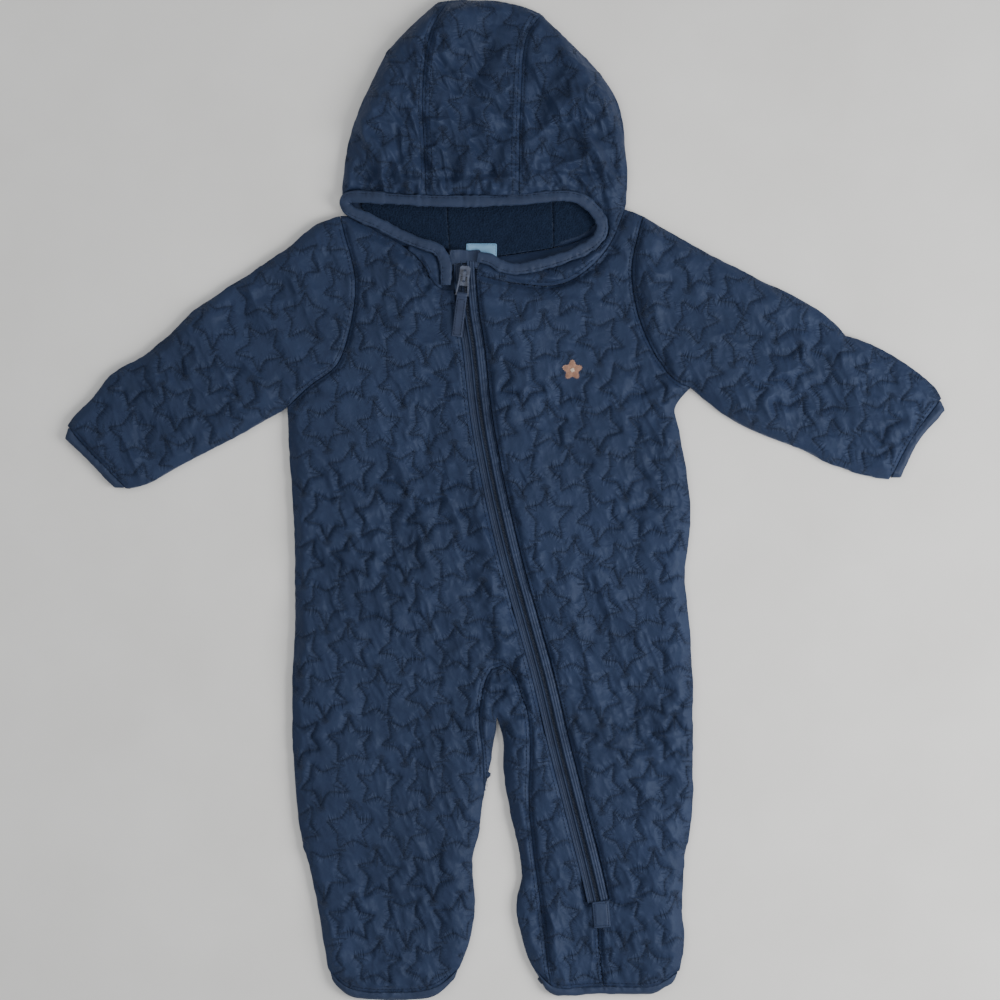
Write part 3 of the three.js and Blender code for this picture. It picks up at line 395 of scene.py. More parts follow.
class Coverage:
    """Where the garment's pieces lie, as a fine grid over the plan."""

    def __init__(self, outlines: Iterable[Plan], step: float = 0.8) -> None:
        """Fill the grid inside each outline."""
        outlines = list(outlines)
        self.low = np.min([o.min(axis=0) for o in outlines], axis=0) - 6
        high = np.max([o.max(axis=0) for o in outlines], axis=0) + 6
        self.step = step
        columns, rows = np.ceil((high - self.low) / step).astype(int) + 1
        self.filled = np.zeros((rows, columns), bool)
        for outline in outlines:
            toggles = np.zeros((rows, columns), np.int16)
            for a, b in zip(outline, np.roll(outline, -1, axis=0)):
                lo, hi = sorted(((a[1] - self.low[1]) / step, (b[1] - self.low[1]) / step))
                r = np.arange(math.ceil(lo), math.ceil(hi))
                if len(r) == 0:
                    continue
                t = (r * step + self.low[1] - a[1]) / (b[1] - a[1])
                c = np.ceil((a[0] + t * (b[0] - a[0]) - self.low[0]) / step).astype(int)
                np.add.at(toggles, (r, c), 1)
            self.filled |= np.cumsum(toggles, axis=1) % 2 == 1

    def at(self, p: Plan) -> np.ndarray:
        """True where a piece lies at some places."""
        c, r = np.rint((p - self.low) / self.step).astype(int).T
        r = np.clip(r, 0, self.filled.shape[0] - 1)
        c = np.clip(c, 0, self.filled.shape[1] - 1)
        return self.filled[r, c]


@dataclass
class Gather:
    """A place where elastic or bent cloth draws the quilting into small gathers."""

    x: float
    y: float
    radius: float
    depth: float


FOLDS = [
    # Trunk: long creases beside the zip, across the chest and down the side
    Fold((-62, 88), (-68, 20), -2.4, 6), Fold((-68, 20), (-82, -38), -2.0, 7),
    Fold((-17, -10), (-5, -130), 3.2, 7), Fold((-30, -40), (-20, -120), -1.8, 6),
    Fold((112, 118), (114, -10), -3.0, 13), Fold((118, -60), (126, -190), -2.2, 12),
    Fold((-150, 40), (-158, -70), -1.8, 12), Fold((-108, -70), (-120, -190), -1.6, 11),
    Fold((-176, 84), (-120, 99), -2.0, 5), Fold((134, 99), (95, 84), -2.2, 6),
    Fold((-20, 171), (100, 166), 1.5, 4), Fold((38, 136), (92, 131), -1.2, 3),
    Fold((-120, 10), (-60, -4), 1.5, 7), Fold((40, -60), (130, -70), 1.6, 7),
    Fold((-100, 150), (-60, 120), 1.6, 8), Fold((20, 60), (60, 10), 1.6, 10),
    Fold((-145, -120), (-80, -150), 1.5, 9), Fold((60, -110), (120, -140), 1.7, 9),
    # Legs
    Fold((-160, -250), (-60, -262), 1.7, 7), Fold((-165, -306), (-60, -300), -1.6, 7),
    Fold((100, -300), (155, -322), -1.8, 7), Fold((30, -250), (56, -235), 1.4, 6),
    Fold((-75, -200), (-60, -300), -1.6, 10), Fold((-120, -330), (-110, -395), -1.5, 7),
    Fold((120, -230), (132, -330), 1.9, 10), Fold((-52, -165), (-32, -215), -1.8, 6),
    # Neck and collar
    Fold((2, 186), (18, 180), -2.6, 3), Fold((18, 180), (40, 180), -3.4, 4),
    Fold((40, 180), (75, 194), -4.2, 5), Fold((75, 194), (94, 214), -4.4, 7),
    Fold((121, 232), (130, 160), 2.8, 8), Fold((30, 190), (46, 186), 2.0, 3),
    Fold((0, 176), (-4, 190), 1.6, 3), Fold((58, 195), (66, 190), 2.0, 3),
    Fold((-110, 228), (-96, 217), -3.2, 4), Fold((-96, 217), (-80, 204), -4.6, 5),
    Fold((-80, 204), (-64, 180), -4.8, 6), Fold((-88, 196), (-74, 178), 2.2, 5),
    Fold((-100, 206), (-88, 196), 1.8, 4), Fold((-60, 200), (-56, 186), 1.8, 3),
    # Hood
    Fold((-10, 408), (-26, 347), -2.6, 11), Fold((0, 321), (-13, 270), -2.2, 8),
    Fold((30, 347), (35, 279), -3.2, 12), Fold((64, 315), (97, 263), 3.4, 6),
    Fold((86, 316), (96, 275), -3.0, 6), Fold((-117, 321), (-87, 262), -2.4, 6),
    Fold((-92, 331), (-87, 285), -1.7, 4), Fold((-39, 293), (-44, 268), -1.8, 4),
    Fold((-5, 327), (22, 321), 1.4, 5), Fold((38, 334), (66, 344), 2.2, 6),
    Fold((52, 382), (74, 330), 1.8, 8), Fold((-100, 300), (-104, 270), 1.6, 5),
    # Sleeves
    Fold((290, 137), (336, 115), -2.2, 6), Fold((336, 115), (357, 86), -1.8, 6),
    Fold((170, 175), (215, 140), -2.0, 8), Fold((225, 120), (180, 150), -1.6, 7),
    Fold((240, 80), (330, 60), 1.8, 9), Fold((-240, 150), (-200, 178), -1.8, 7),
    Fold((-300, 90), (-230, 110), 1.7, 9), Fold((-220, 60), (-180, 100), -1.9, 7),
]
GATHERS = [
    Gather(-351, 31, 36, 1.1), Gather(355, 47, 36, 1.1), Gather(-95, -402, 64, 1.1),
    Gather(88, -402, 64, 1.1), Gather(0, -165, 44, 1.6), Gather(-110, 262, 46, 1.5),
    Gather(-62, 196, 32, 1.7), Gather(70, 262, 40, 1.2), Gather(30, 192, 40, 1.3),
    Gather(-20, 264, 60, 0.9), Gather(-60, 120, 45, 0.5),
]
# Stitched places: their middle, radius and the height that their cloth is held at
CALM_SPOTS = [Gather(57, 110, 12.5, 10.0), Gather(81.5, -351, 12.0, 9.8)]


class Relief:
    """Form of the whole laid garment: its rounded edges, sunk seams, folds and gathers."""

    def __init__(self, outlines: dict[str, Plan]) -> None:
        """Sort the pieces' edges into the garment's outer edge and its seams."""
        self.cover = Coverage(outlines.values())
        every = np.vstack(list(outlines.values()))
        low, high = every.min(axis=0), every.max(axis=0)
        self.edge = PlanMap(low, high, 1.5, HOOD_ROUND + 4)
        self.seam = PlanMap(low, high, 1.0, 18.0)
        start = 0.0
        for outline in outlines.values():
            outer = self.is_outer(outline)
            following = np.roll(outer, -1)
            for i in range(len(outline)):
                piece = outline[[i, (i + 1) % len(outline)]]
                target = self.edge if outer[i] and following[i] else self.seam
                target.stamp(piece, start)
                start += float(np.hypot(*(piece[1] - piece[0])))

    def is_outer(self, outline: Plan) -> np.ndarray:
        """True for the points of an outline past which no other piece lies."""
        away = outline - normals_of(outline, closed=True) * 2.4
        return ~self.cover.at(away)

    def folds(self, p: Plan) -> np.ndarray:
        """Rise and fall of the large folds."""
        hood = 1 + 0.7 * smooth((p[:, 1] - 255) / 30)
        return hood * sum(fold.lift(p) for fold in FOLDS)

    def crumples(self, p: Plan) -> np.ndarray:
        """Soft creases that wander over the whole cloth, deeper in some places."""
        lean = np.column_stack([p[:, 0] * 1.25 + p[:, 1] * 0.5, p[:, 1] * 0.72 - p[:, 0] * 0.2])
        where = 0.8 + 0.5 * noise(p, 70.0, 13)
        long = np.column_stack([p[:, 0] + p[:, 1] * 0.35, p[:, 1] * 0.45])
        hood = 1 + 0.9 * smooth((p[:, 1] - 235) / 40)
        return (2.1 * noise(p, 66.0, 15) + hood * (
            1.7 * crumple(lean, 50.0, 21) + where * (
                1.0 * crumple(lean, 25.0, 3) + 0.62 * crumple(lean, 12.0, 17)
                + 0.30 * crumple(long, 5.2, 27) + 0.10 * noise(long, 3.0, 29))))

    def gathers(self, p: Plan) -> np.ndarray:
        """Small gathers that run away from the seams, and crumples between them."""
        d = self.seam.read(self.seam.distance, p)
        along = self.seam.read(self.seam.along, p)
        ripple = noise(np.column_stack([along, d * 0.3]), 4.6, 19) * np.exp(-d / 9.0)
        strength = np.full(len(p), 0.16)
        for g in GATHERS:
            away = np.hypot(p[:, 0] - g.x, p[:, 1] - g.y) / g.radius
            strength = strength + g.depth * (1 - smooth(away))
        rim = np.exp(-np.abs(p[:, 1] - 263) / 8) * (1 - smooth((p[:, 0] - 15) / 50))
        pleats = noise(np.column_stack([p[:, 0] - p[:, 1] * 0.1, p[:, 1] * 0.2]), 3.4, 33)
        return (strength * (1.5 * ripple + 0.35 * crumple(p, 9.0, 31))
                + 1.9 * pleats * rim * (p[:, 1] > 250))

    def top(self, level: float | Height, radius: float = BODY_ROUND) -> Height:
        """Top of the cloth over the plan, for one level of cloth."""
        def height(p: Plan) -> np.ndarray:
            """Height of the cloth at some places."""
            d = self.edge.read(self.edge.distance, p)
            s = self.seam.read(self.seam.distance, p)
            round_ = np.sqrt(1 - (1 - np.clip(d / radius, 0, 1)) ** 2)
            flat = level(p) if callable(level) else level
            dip = 2.3 * np.exp(-(s / 3.2) ** 1.4) + 0.4 * np.exp(-((s - 2.6) / 0.8) ** 2)
            rough = self.folds(p) + self.gathers(p) - dip + self.crumples(p)
            return EDGE_TOP + (flat - EDGE_TOP) * round_ + rough * np.clip(d / 11.0, 0.05, 1)
        return height

    def calmed(self, p: Plan, z: np.ndarray) -> np.ndarray:
        """Cloth held flat where something is stitched to it."""
        for spot in CALM_SPOTS:
            away = np.hypot(p[:, 0] - spot.x, p[:, 1] - spot.y) / spot.radius
            share = 1 - smooth((away - 0.75) / 0.5)
            z = z * (1 - share) + spot.depth * share
        return z

    def hood_level(self, p: Plan) -> np.ndarray:
        """Level of the hood's cloth, which sinks to the collar at the wearer's left."""
        x, y = p[:, 0], p[:, 1]
        rise = smooth((y - 225) / 28)
        rise = rise * (1 - smooth((x - 55) / 45) * (1 - smooth((y - 238) / 50)))
        return COLLAR_LEVEL + (HOOD_LEVEL - COLLAR_LEVEL) * rise


@dataclass
class Build:
    """Vertices, faces and stitch coordinates of a mesh while it is put together."""

    points: list[np.ndarray] = field(default_factory=list)
    faces: list[np.ndarray] = field(default_factory=list)
    stitch: list[np.ndarray] = field(default_factory=list)
    count: int = 0

    def add(self, xyz: np.ndarray, stitch: np.ndarray | None = None) -> int:
        """Add vertices and return the number of the first."""
        start = self.count
        self.points.append(xyz)
        self.stitch.append(np.zeros((len(xyz), 2)) + [0, 30] if stitch is None else stitch)
        self.count += len(xyz)
        return start

    def join(self, faces: np.ndarray) -> None:
        """Add faces given by vertex numbers."""
        self.faces.append(np.asarray(faces, np.int64))

    def strip(self, a: np.ndarray, b: np.ndarray) -> None:
        """Join two closed rows of vertices; the second row lies below the first."""
        c, d = np.roll(b, -1), np.roll(a, -1)
        self.join(np.column_stack([a, b, c]))
        self.join(np.column_stack([a, c, d]))

    def close(self, ring: Plan, row: np.ndarray, height: Height, up: bool) -> None:
        """Close a row of vertices with a plain face over the ring that they follow."""
        p, tris, edge = filled(ring, 12.0)
        numbers = np.full(len(p), -1)
        numbers[edge] = row
        loose = numbers < 0
        start = self.add(np.column_stack([p[loose], height(p[loose])]))
        numbers[loose] = start + np.arange(loose.sum())
        self.join(numbers[tris if up else tris[:, ::-1]])

    def piece(self, name: str, material: bpy.types.Material, smooth_shaded: bool = True):
        """Make the mesh object, in metres."""
        xyz = np.vstack(self.points) * MM
        tris = np.vstack(self.faces)
        mesh = bpy.data.meshes.new(name)
        mesh.vertices.add(len(xyz))
        mesh.vertices.foreach_set("co", xyz.astype(np.float32).ravel())
        mesh.loops.add(tris.size)
        mesh.loops.foreach_set("vertex_index", tris.astype(np.int32).ravel())
        mesh.polygons.add(len(tris))
        mesh.polygons.foreach_set("loop_start", np.arange(0, tris.size, 3, dtype=np.int32))
        mesh.polygons.foreach_set("use_smooth", np.full(len(tris), smooth_shaded))
        uv = mesh.uv_layers.new(name="stitch")
        values = np.vstack(self.stitch)[tris.ravel()] * 0.01
        uv.data.foreach_set("uv", values.astype(np.float32).ravel())
        mesh.update()
        mesh.validate()
        mesh.materials.append(material)
        piece = bpy.data.objects.new(name, mesh)
        bpy.context.scene.collection.objects.link(piece)
        return piece


def lattice(outline: Plan, step: float) -> Plan:
    """Staggered points inside an outline, clear of its edge."""
    low, high = outline.min(axis=0), outline.max(axis=0)
    rows = np.arange(low[1], high[1], step * 0.866)
    columns = np.arange(low[0], high[0], step)
    x, y = np.meshgrid(columns, rows)
    x = x + np.where(np.arange(len(rows)) % 2, step / 2, 0)[:, None]
    p = np.column_stack([x.ravel(), y.ravel()])
    p = p[inside(outline, p)]
    near = PlanMap(low, high, max(0.5, step / 3), step * 1.5)
    near.stamp(outline, closed=True)
    return p[near.read(near.distance, p) > step * 0.6]


def filled(outline: Plan, step: float) -> tuple[Plan, np.ndarray, np.ndarray]:
    """Triangles over an outline's inside.

    Args:
        outline: the closed outline's points, anticlockwise.
        step: spacing of the points inside.

    Returns:
        The points, the triangles, and the number of each of the outline's points.
    """
    p = np.vstack([outline, lattice(outline, step)])
    n = len(outline)
    edges = [(i, (i + 1) % n) for i in range(n)]
    cut = delaunay_2d_cdt([Vector(q) for q in p], edges, [], 1, 1e-5)
    ring = np.full(len(p), -1)
    for number, came in enumerate(cut[3]):
        ring[came] = number
    return np.array([tuple(v) for v in cut[0]]), np.array(cut[2], np.int64), ring[:n]


@dataclass
class Face:
    """Outer face of a panel: its laid form, and the quilting that lies over it."""

    relief: Relief
    base: Height
    lines: PlanMap | None = None
    quilt: Quilt | None = None

    def height(self, p: Plan) -> np.ndarray:
        """Height of the cloth at some places."""
        z = self.base(p)
        if self.lines is None:
            return z
        d = self.relief.edge.read(self.relief.edge.distance, p)
        s = self.relief.seam.read(self.relief.seam.distance, p)
        fade = smooth((d - 1.0) / 8.0) * (0.2 + 0.8 * smooth((s - 0.5) / 5.0))
        return self.relief.calmed(p, z + self.quilt.lift(self.lines, p) * fade)

    def stitch(self, p: Plan) -> np.ndarray | None:
        """Place along the nearest stitched line, and the distance to it."""
        if self.lines is None:
            return None
        return np.column_stack([self.lines.read(self.lines.along, p),
                                self.lines.read(self.lines.distance, p)])


class Wall:
    """One closed wall of cloth over an outline, with its edge turned down."""

    def __init__(self, build: Build, relief: Relief, outline: Plan) -> None:
        """Take the outline, anticlockwise and in millimetres."""
        self.build, self.relief = build, relief
        ring = resampled(np.vstack([outline, outline[:1]]), 1.5)[:-1]
        away = -normals_of(ring, closed=True)
        puffs = 0.55 * noise(ring, 13.0, 301) + 0.3 * noise(ring, 5.0, 303)
        outer = self.outer_share(ring)
        grow = puffs * outer + 0.1 * (1 - outer)
        self.outline = ring + away * grow[:, None]

    def outer_share(self, ring: Plan) -> np.ndarray:
        """How far each point of an outline is on the garment's outer edge, from 0 to 1."""
        outer = self.relief.is_outer(ring).astype(float)
        return sum(np.roll(outer, k) for k in range(-4, 5)) / 9

    def add(self, face: Face, under: Height, lip: Lip, step: float) -> None:
        """Add the wall's faces.

        Args:
            face: the outer face.
            under: height of the inner face.
            lip: how the wall turns down where it is the garment's outer edge.
            step: spacing of the outer face's points.
        """
        p, tris, edge = filled(self.outline, step)
        ring, n = p[edge], len(edge)
        z = face.height(p)
        outer_face = self.build.add(np.column_stack([p, z]), face.stitch(p))
        self.build.join(tris + outer_face)
        inward = normals_of(ring, closed=True)
        outer = self.outer_share(ring)
        floor, rim = under(ring), z[edge]
        above = edge + outer_face
        for k, (inset, height) in enumerate(lip.value):
            last = k == len(lip.value) - 1
            share = (k + 1) / len(lip.value)
            edge_z = rim + (floor - rim) * share
            lip_z = np.minimum(height, rim - 0.3) if not last else floor
            step_in = inset * outer + (0.1 + 0.3 * share) * (1 - outer)
            row = self.build.add(np.column_stack([
                ring + inward * step_in[:, None], lip_z * outer + edge_z * (1 - outer)]))
            row = row + np.arange(n)
            self.build.strip(above, row)
            above = row
        self.build.close(ring, above, under, up=False)


@dataclass(frozen=True)
class Thread:
    """Stitches of one sewing thread, in millimetres."""

    length: float = 2.3
    gap: float = 0.9
    thick: float = 0.34

    def sew(self, build: Build, line: Plan, height: Height, clear: Callable | None = None) -> None:
        """Lay stitches along a line on a surface."""
        marks = resampled(line, self.length + self.gap)
        if len(marks) < 2:
            return
        ahead = np.diff(marks, axis=0)
        ahead /= np.maximum(np.linalg.norm(ahead, axis=1, keepdims=True), 1e-9)
        start = marks[:-1]
        if clear is not None:
            kept = clear(start + ahead * self.length / 2)
            start, ahead = start[kept], ahead[kept]
        if len(start) == 0:
            return
        side = np.column_stack([-ahead[:, 1], ahead[:, 0]])
        rows = []
        for along, rise in ((0.0, -0.15), (0.3, 0.75), (0.7, 0.75), (1.0, -0.15)):
            at = start + ahead * self.length * along
            z = height(at)
            for across, lift in ((-0.5, 0.0), (0.0, 1.0), (0.5, 0.0)):
                rows.append(np.column_stack([at + side * across * self.thick,
                                             z + (rise + lift * 0.9) * self.thick]))
        block = np.stack(rows, axis=1)
        first = build.add(block.reshape(-1, 3))
        quads = [(a + k, a + k + 1, a + k + 4, a + k + 3) for a in (0, 3, 6) for k in (0, 1)]
        faces = [f for a, b, c, d in quads for f in ((a, c, b), (a, d, c))]
        faces += [(0, 1, 2), (9, 11, 10)] + [(a, a + 2, a + 5) for a in (0, 3, 6)]
        faces += [(a, a + 5, a + 3) for a in (0, 3, 6)]
        many = np.array(faces)[None] + 12 * np.arange(len(start))[:, None, None]
        build.join(many.reshape(-1, 3) + first)


def level_plane(z: float) -> Height:
    """Height of a flat face."""
    return lambda p: np.full(len(p), z)


class Nodes:
    """Shader nodes of one procedural material, added one after another."""

    def __init__(self, name: str) -> None:
        """Start a material with only its output and a principled shader."""
        self.material = bpy.data.materials.new(name)
        self.material.use_nodes = True
        self.tree = self.material.node_tree
        self.shader = self.tree.nodes["Principled BSDF"]

    def node(self, kind: str, operation: str | None = None, **inputs: object):
        """Add a node, and set or join its inputs by name."""
        made = self.tree.nodes.new(kind)
        if operation:
            made.operation = operation
        for key, value in inputs.items():
            self.put(made.inputs[key.replace("_", " ")], value)
        return made

    def put(self, socket, value: object) -> None:
        """Set a socket to a value, or join it to an output."""
        if isinstance(value, bpy.types.NodeSocket):
            self.tree.links.new(value, socket)
        else:
            socket.default_value = value

    def math(self, operation: str, a: object, b: object = 0.0):
        """Output of a sum on two values."""
        made = self.tree.nodes.new("ShaderNodeMath")
        made.operation = operation
        self.put(made.inputs[0], a)
        self.put(made.inputs[1], b)
        return made.outputs[0]

    def noise(self, place, scale: float, detail: float = 3.0, rough: float = 0.55):
        """Output of a noise texture."""
        made = self.node("ShaderNodeTexNoise", Vector=place, Scale=scale, Detail=detail,
                         Roughness=rough)
        return made.outputs["Fac"]

    def waves(self, place, scale: float, axis: str):
        """Output of even bands across one axis."""
        made = self.node("ShaderNodeTexWave", Vector=place, Scale=scale, Distortion=0.6,
                         Detail=1.0)
        made.bands_direction = axis
        return made.outputs["Fac"]

    def ramp(self, value, stops: Sequence[tuple[float, tuple[float, float, float]]]):
        """Colours between stops, by a value."""
        made = self.tree.nodes.new("ShaderNodeValToRGB")
        elements = made.color_ramp.elements
        while len(elements) < len(stops):
            elements.new(0.5)
        for element, (at, colour) in zip(elements, stops):
            element.position = at
            element.color = (*colour, 1.0)
        self.put(made.inputs["Fac"], value)
        return made.outputs["Color"]

    def dimmed(self, colour, share, least: float):
        """A colour darkened to a part of itself as a share falls from 1 to 0."""
        scale = self.math("ADD", least, self.math("MULTIPLY", share, 1.0 - least))
        return self.node("ShaderNodeVectorMath", Vector=colour, Scale=scale,
                         operation="SCALE").outputs[0]

    def bump(self, height, strength: float, distance: float, below=None):
        """Normal bent by a height."""
        made = self.node("ShaderNodeBump", Strength=strength, Distance=distance, Height=height)
        if below is not None:
            self.put(made.inputs["Normal"], below)
        return made.outputs["Normal"]

    def shade(self, **inputs: object) -> None:
        """Set or join inputs of the principled shader."""
        for key, value in inputs.items():
            self.put(self.shader.inputs[key.replace("_", " ")], value)


Colour = tuple[float, float, float]


@dataclass(frozen=True)
class SatinShell:
    """Tightly woven satin cloth with a soft sheen and fine puckers beside its stitching."""

    name: str
    shade: Colour = (0.0092, 0.0172, 0.0425)
    light: Colour = (0.0150, 0.0262, 0.0615)
    rough: float = 0.56

    def make(self) -> bpy.types.Material:
        """Make the material."""
        n = Nodes(self.name)
        place = n.node("ShaderNodeTexCoord").outputs["Object"]
        stitch = n.node("ShaderNodeUVMap").outputs["UV"]
        apart = n.node("ShaderNodeSeparateXYZ", Vector=stitch)
        broad = n.math("ADD", n.math("MULTIPLY", n.noise(place, 38.0, 4.0, 0.6), 0.6),
                       n.math("MULTIPLY", n.noise(place, 9.0, 2.0), 0.4))
        colour = n.ramp(broad, [(0.32, self.shade), (0.66, self.light)])
        weave = n.math("ADD", n.waves(place, 520.0, "X"), n.waves(place, 520.0, "Y"))
        streak = n.node("ShaderNodeMapping", Vector=stitch, Scale=(1.0, 0.1, 1.0))
        pucker = n.noise(streak.outputs[0], 46.0, 3.0)
        fade = n.math("MAXIMUM", n.math("SUBTRACT", 1.0, n.math("MULTIPLY", apart.outputs["Y"], 17.0)), 0.0)
        sunk = n.math("MINIMUM", n.math("MULTIPLY", apart.outputs["Y"], 60.0), 1.0)
        pucker = n.math("MULTIPLY", n.math("SUBTRACT", pucker, 0.5), fade)
        soft = n.noise(place, 260.0, 3.0)
        normal = n.bump(pucker, 1.0, 0.0034)
        normal = n.bump(soft, 0.45, 0.0012, normal)
        normal = n.bump(weave, 0.12, 0.00012, normal)
        n.shade(Base_Color=n.dimmed(colour, sunk, 0.62), Roughness=self.rough, Normal=normal,
                Sheen_Weight=0.12,
                Sheen_Roughness=0.5, Sheen_Tint=(0.5, 0.62, 1.0, 1.0), Specular_IOR_Level=0.26,
                Specular_Tint=(0.7, 0.8, 1.0, 1.0))
        return n.material


@dataclass(frozen=True)
class Ribbed:
    """Plain cloth with fine ribs, for bindings and tapes."""

    name: str
    shade: Colour = (0.0122, 0.0222, 0.0525)
    light: Colour = (0.0190, 0.0325, 0.0725)
    ribs: float = 300.0
    rough: float = 0.55
    sheen: float = 0.12

    def make(self) -> bpy.types.Material:
        """Make the material."""
        n = Nodes(self.name)
        place = n.node("ShaderNodeTexCoord").outputs["Object"]
        colour = n.ramp(n.noise(place, 60.0), [(0.3, self.shade), (0.7, self.light)])
        weave = n.math("ADD", n.waves(place, self.ribs, "X"), n.waves(place, self.ribs, "Y"))
        normal = n.bump(n.noise(place, 300.0), 0.3, 0.0006)
        normal = n.bump(weave, 0.35, 0.0002, normal)
        n.shade(Base_Color=colour, Roughness=self.rough, Normal=normal, Sheen_Weight=self.sheen,
                Sheen_Roughness=0.45, Sheen_Tint=(0.6, 0.72, 1.0, 1.0), Specular_IOR_Level=0.25)
        return n.material


@dataclass(frozen=True)
class Fleece:
    """Short brushed pile."""

    name: str
    shade: Colour = (0.0026, 0.0064, 0.0175)
    light: Colour = (0.0070, 0.0145, 0.0345)

    def make(self) -> bpy.types.Material:
        """Make the material."""
        n = Nodes(self.name)
        place = n.node("ShaderNodeTexCoord").outputs["Object"]
        tufts = n.node("ShaderNodeTexVoronoi", Vector=place, Scale=620.0).outputs["Distance"]
        clumps = n.noise(place, 170.0, 5.0, 0.7)
        colour = n.ramp(n.math("ADD", n.math("MULTIPLY", clumps, 0.7),
                               n.math("MULTIPLY", tufts, 0.3)),
                        [(0.25, self.shade), (0.7, self.light)])
        normal = n.bump(n.math("ADD", clumps, tufts), 0.8, 0.0012)
        n.shade(Base_Color=colour, Roughness=0.95, Normal=normal, Sheen_Weight=0.10,
                Sheen_Roughness=0.6, Sheen_Tint=(0.45, 0.6, 1.0, 1.0), Specular_IOR_Level=0.1)
        return n.material


@dataclass(frozen=True)
class Enamel:
    """Enamelled or moulded surface with small wear on its high places."""

    name: str
    shade: Colour = (0.030, 0.040, 0.072)
    light: Colour = (0.060, 0.078, 0.125)
    rough: float = 0.34

    def make(self) -> bpy.types.Material:
        """Make the material."""
        n = Nodes(self.name)
        place = n.node("ShaderNodeTexCoord").outputs["Object"]
        specks = n.noise(place, 900.0, 4.0)
        colour = n.ramp(n.noise(place, 240.0), [(0.35, self.shade), (0.7, self.light)])
        rough = n.math("ADD", self.rough - 0.1, n.math("MULTIPLY", specks, 0.2))
        n.shade(Base_Color=colour, Roughness=rough, Normal=n.bump(specks, 0.2, 0.0001),
                Coat_Weight=0.25, Coat_Roughness=0.25)
        return n.material


@dataclass(frozen=True)
class PaleFloor:
    """Plain pale floor with a faint mottle."""

    name: str
    shade: Colour = (0.68, 0.665, 0.635)
    light: Colour = (0.74, 0.728, 0.70)

    def make(self) -> bpy.types.Material:
        """Make the material."""
        n = Nodes(self.name)
        place = n.node("ShaderNodeTexCoord").outputs["Object"]
        colour = n.ramp(n.noise(place, 9.0, 5.0), [(0.3, self.shade), (0.7, self.light)])
        n.shade(Base_Color=colour, Roughness=0.7, Normal=n.bump(n.noise(place, 400.0), 0.1, 0.0004))
        return n.material


@dataclass
class Finishes:
    """The materials that the pieces share."""

    shell: bpy.types.Material
    thread: bpy.types.Material
    binding: bpy.types.Material
    tape: bpy.types.Material
    fleece: bpy.types.Material
    label: bpy.types.Material
    label_thread: bpy.types.Material
    ribbon: bpy.types.Material
    embroidery: bpy.types.Material
    cream: bpy.types.Material
    enamel: bpy.types.Material
    coil: bpy.types.Material

    @classmethod
    def made(cls) -> "Finishes":
        """Make every finish."""
        return cls(
            shell=SatinShell("shell_satin").make(),
            thread=Ribbed("sewing_thread", (0.007, 0.013, 0.034), (0.012, 0.021, 0.050), 1500.0,
                          0.6, 0.05).make(),
            binding=Ribbed("binding_cloth").make(),
            tape=Ribbed("zip_tape_cloth", (0.009, 0.017, 0.042), (0.015, 0.027, 0.062)).make(),
            fleece=Fleece("lining_fleece").make(),
            label=Ribbed("label_satin", (0.13, 0.27, 0.42), (0.18, 0.33, 0.49), 700.0, 0.4).make(),
            label_thread=Ribbed("label_thread", (0.10, 0.20, 0.33), (0.15, 0.27, 0.41), 1500.0).make(),
            cream=Ribbed("cream_thread", (0.52, 0.40, 0.30), (0.66, 0.54, 0.43), 1500.0, 0.5,
                         0.4).make(),
            embroidery=Ribbed("embroidery_thread", (0.24, 0.12, 0.075), (0.36, 0.20, 0.13), 900.0,
                              0.45, 0.6).make(),
            enamel=Enamel("slider_enamel").make(),
            coil=Ribbed("coil_nylon", (0.004, 0.008, 0.020), (0.012, 0.020, 0.044), 1200.0, 0.5,
                        0.3).make(),
            ribbon=Ribbed("ribbon_cloth", (0.017, 0.026, 0.056), (0.026, 0.038, 0.078)).make(),
        )


def dress(piece: bpy.types.Object, nodes: Sequence[str], body: str = "garment") -> None:
    """Make a piece stand for its solids, ride on their body and take a slot's finish."""
    if nodes:
        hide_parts(*nodes)
    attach(piece, body)
    log.info("%s: %d faces", piece.name, len(getattr(piece.data, "polygons", ())))


def area_of(outline: Plan) -> float:
    """Area inside an outline, in square millimetres."""
    x, y = outline.T
    return abs(np.dot(x, np.roll(y, -1)) - np.dot(y, np.roll(x, -1))) / 2


@dataclass
class Cut:
    """Where each solid's outlines lie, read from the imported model."""

    top: dict[str, Plan]
    under: dict[str, Plan]

    @classmethod
    def read(cls, names: Sequence[str], folded: Sequence[str]) -> "Cut":
        """Read the outlines of some solids, and the lower layer of the folded ones."""
        top = {name: rounded_outline(*packed_outline(name, Side.TOP))[0] for name in names}
        under = {name: rounded_outline(*packed_outline(name, Side.UNDERSIDE))[0]
                 for name in folded}
        return cls(top, under)


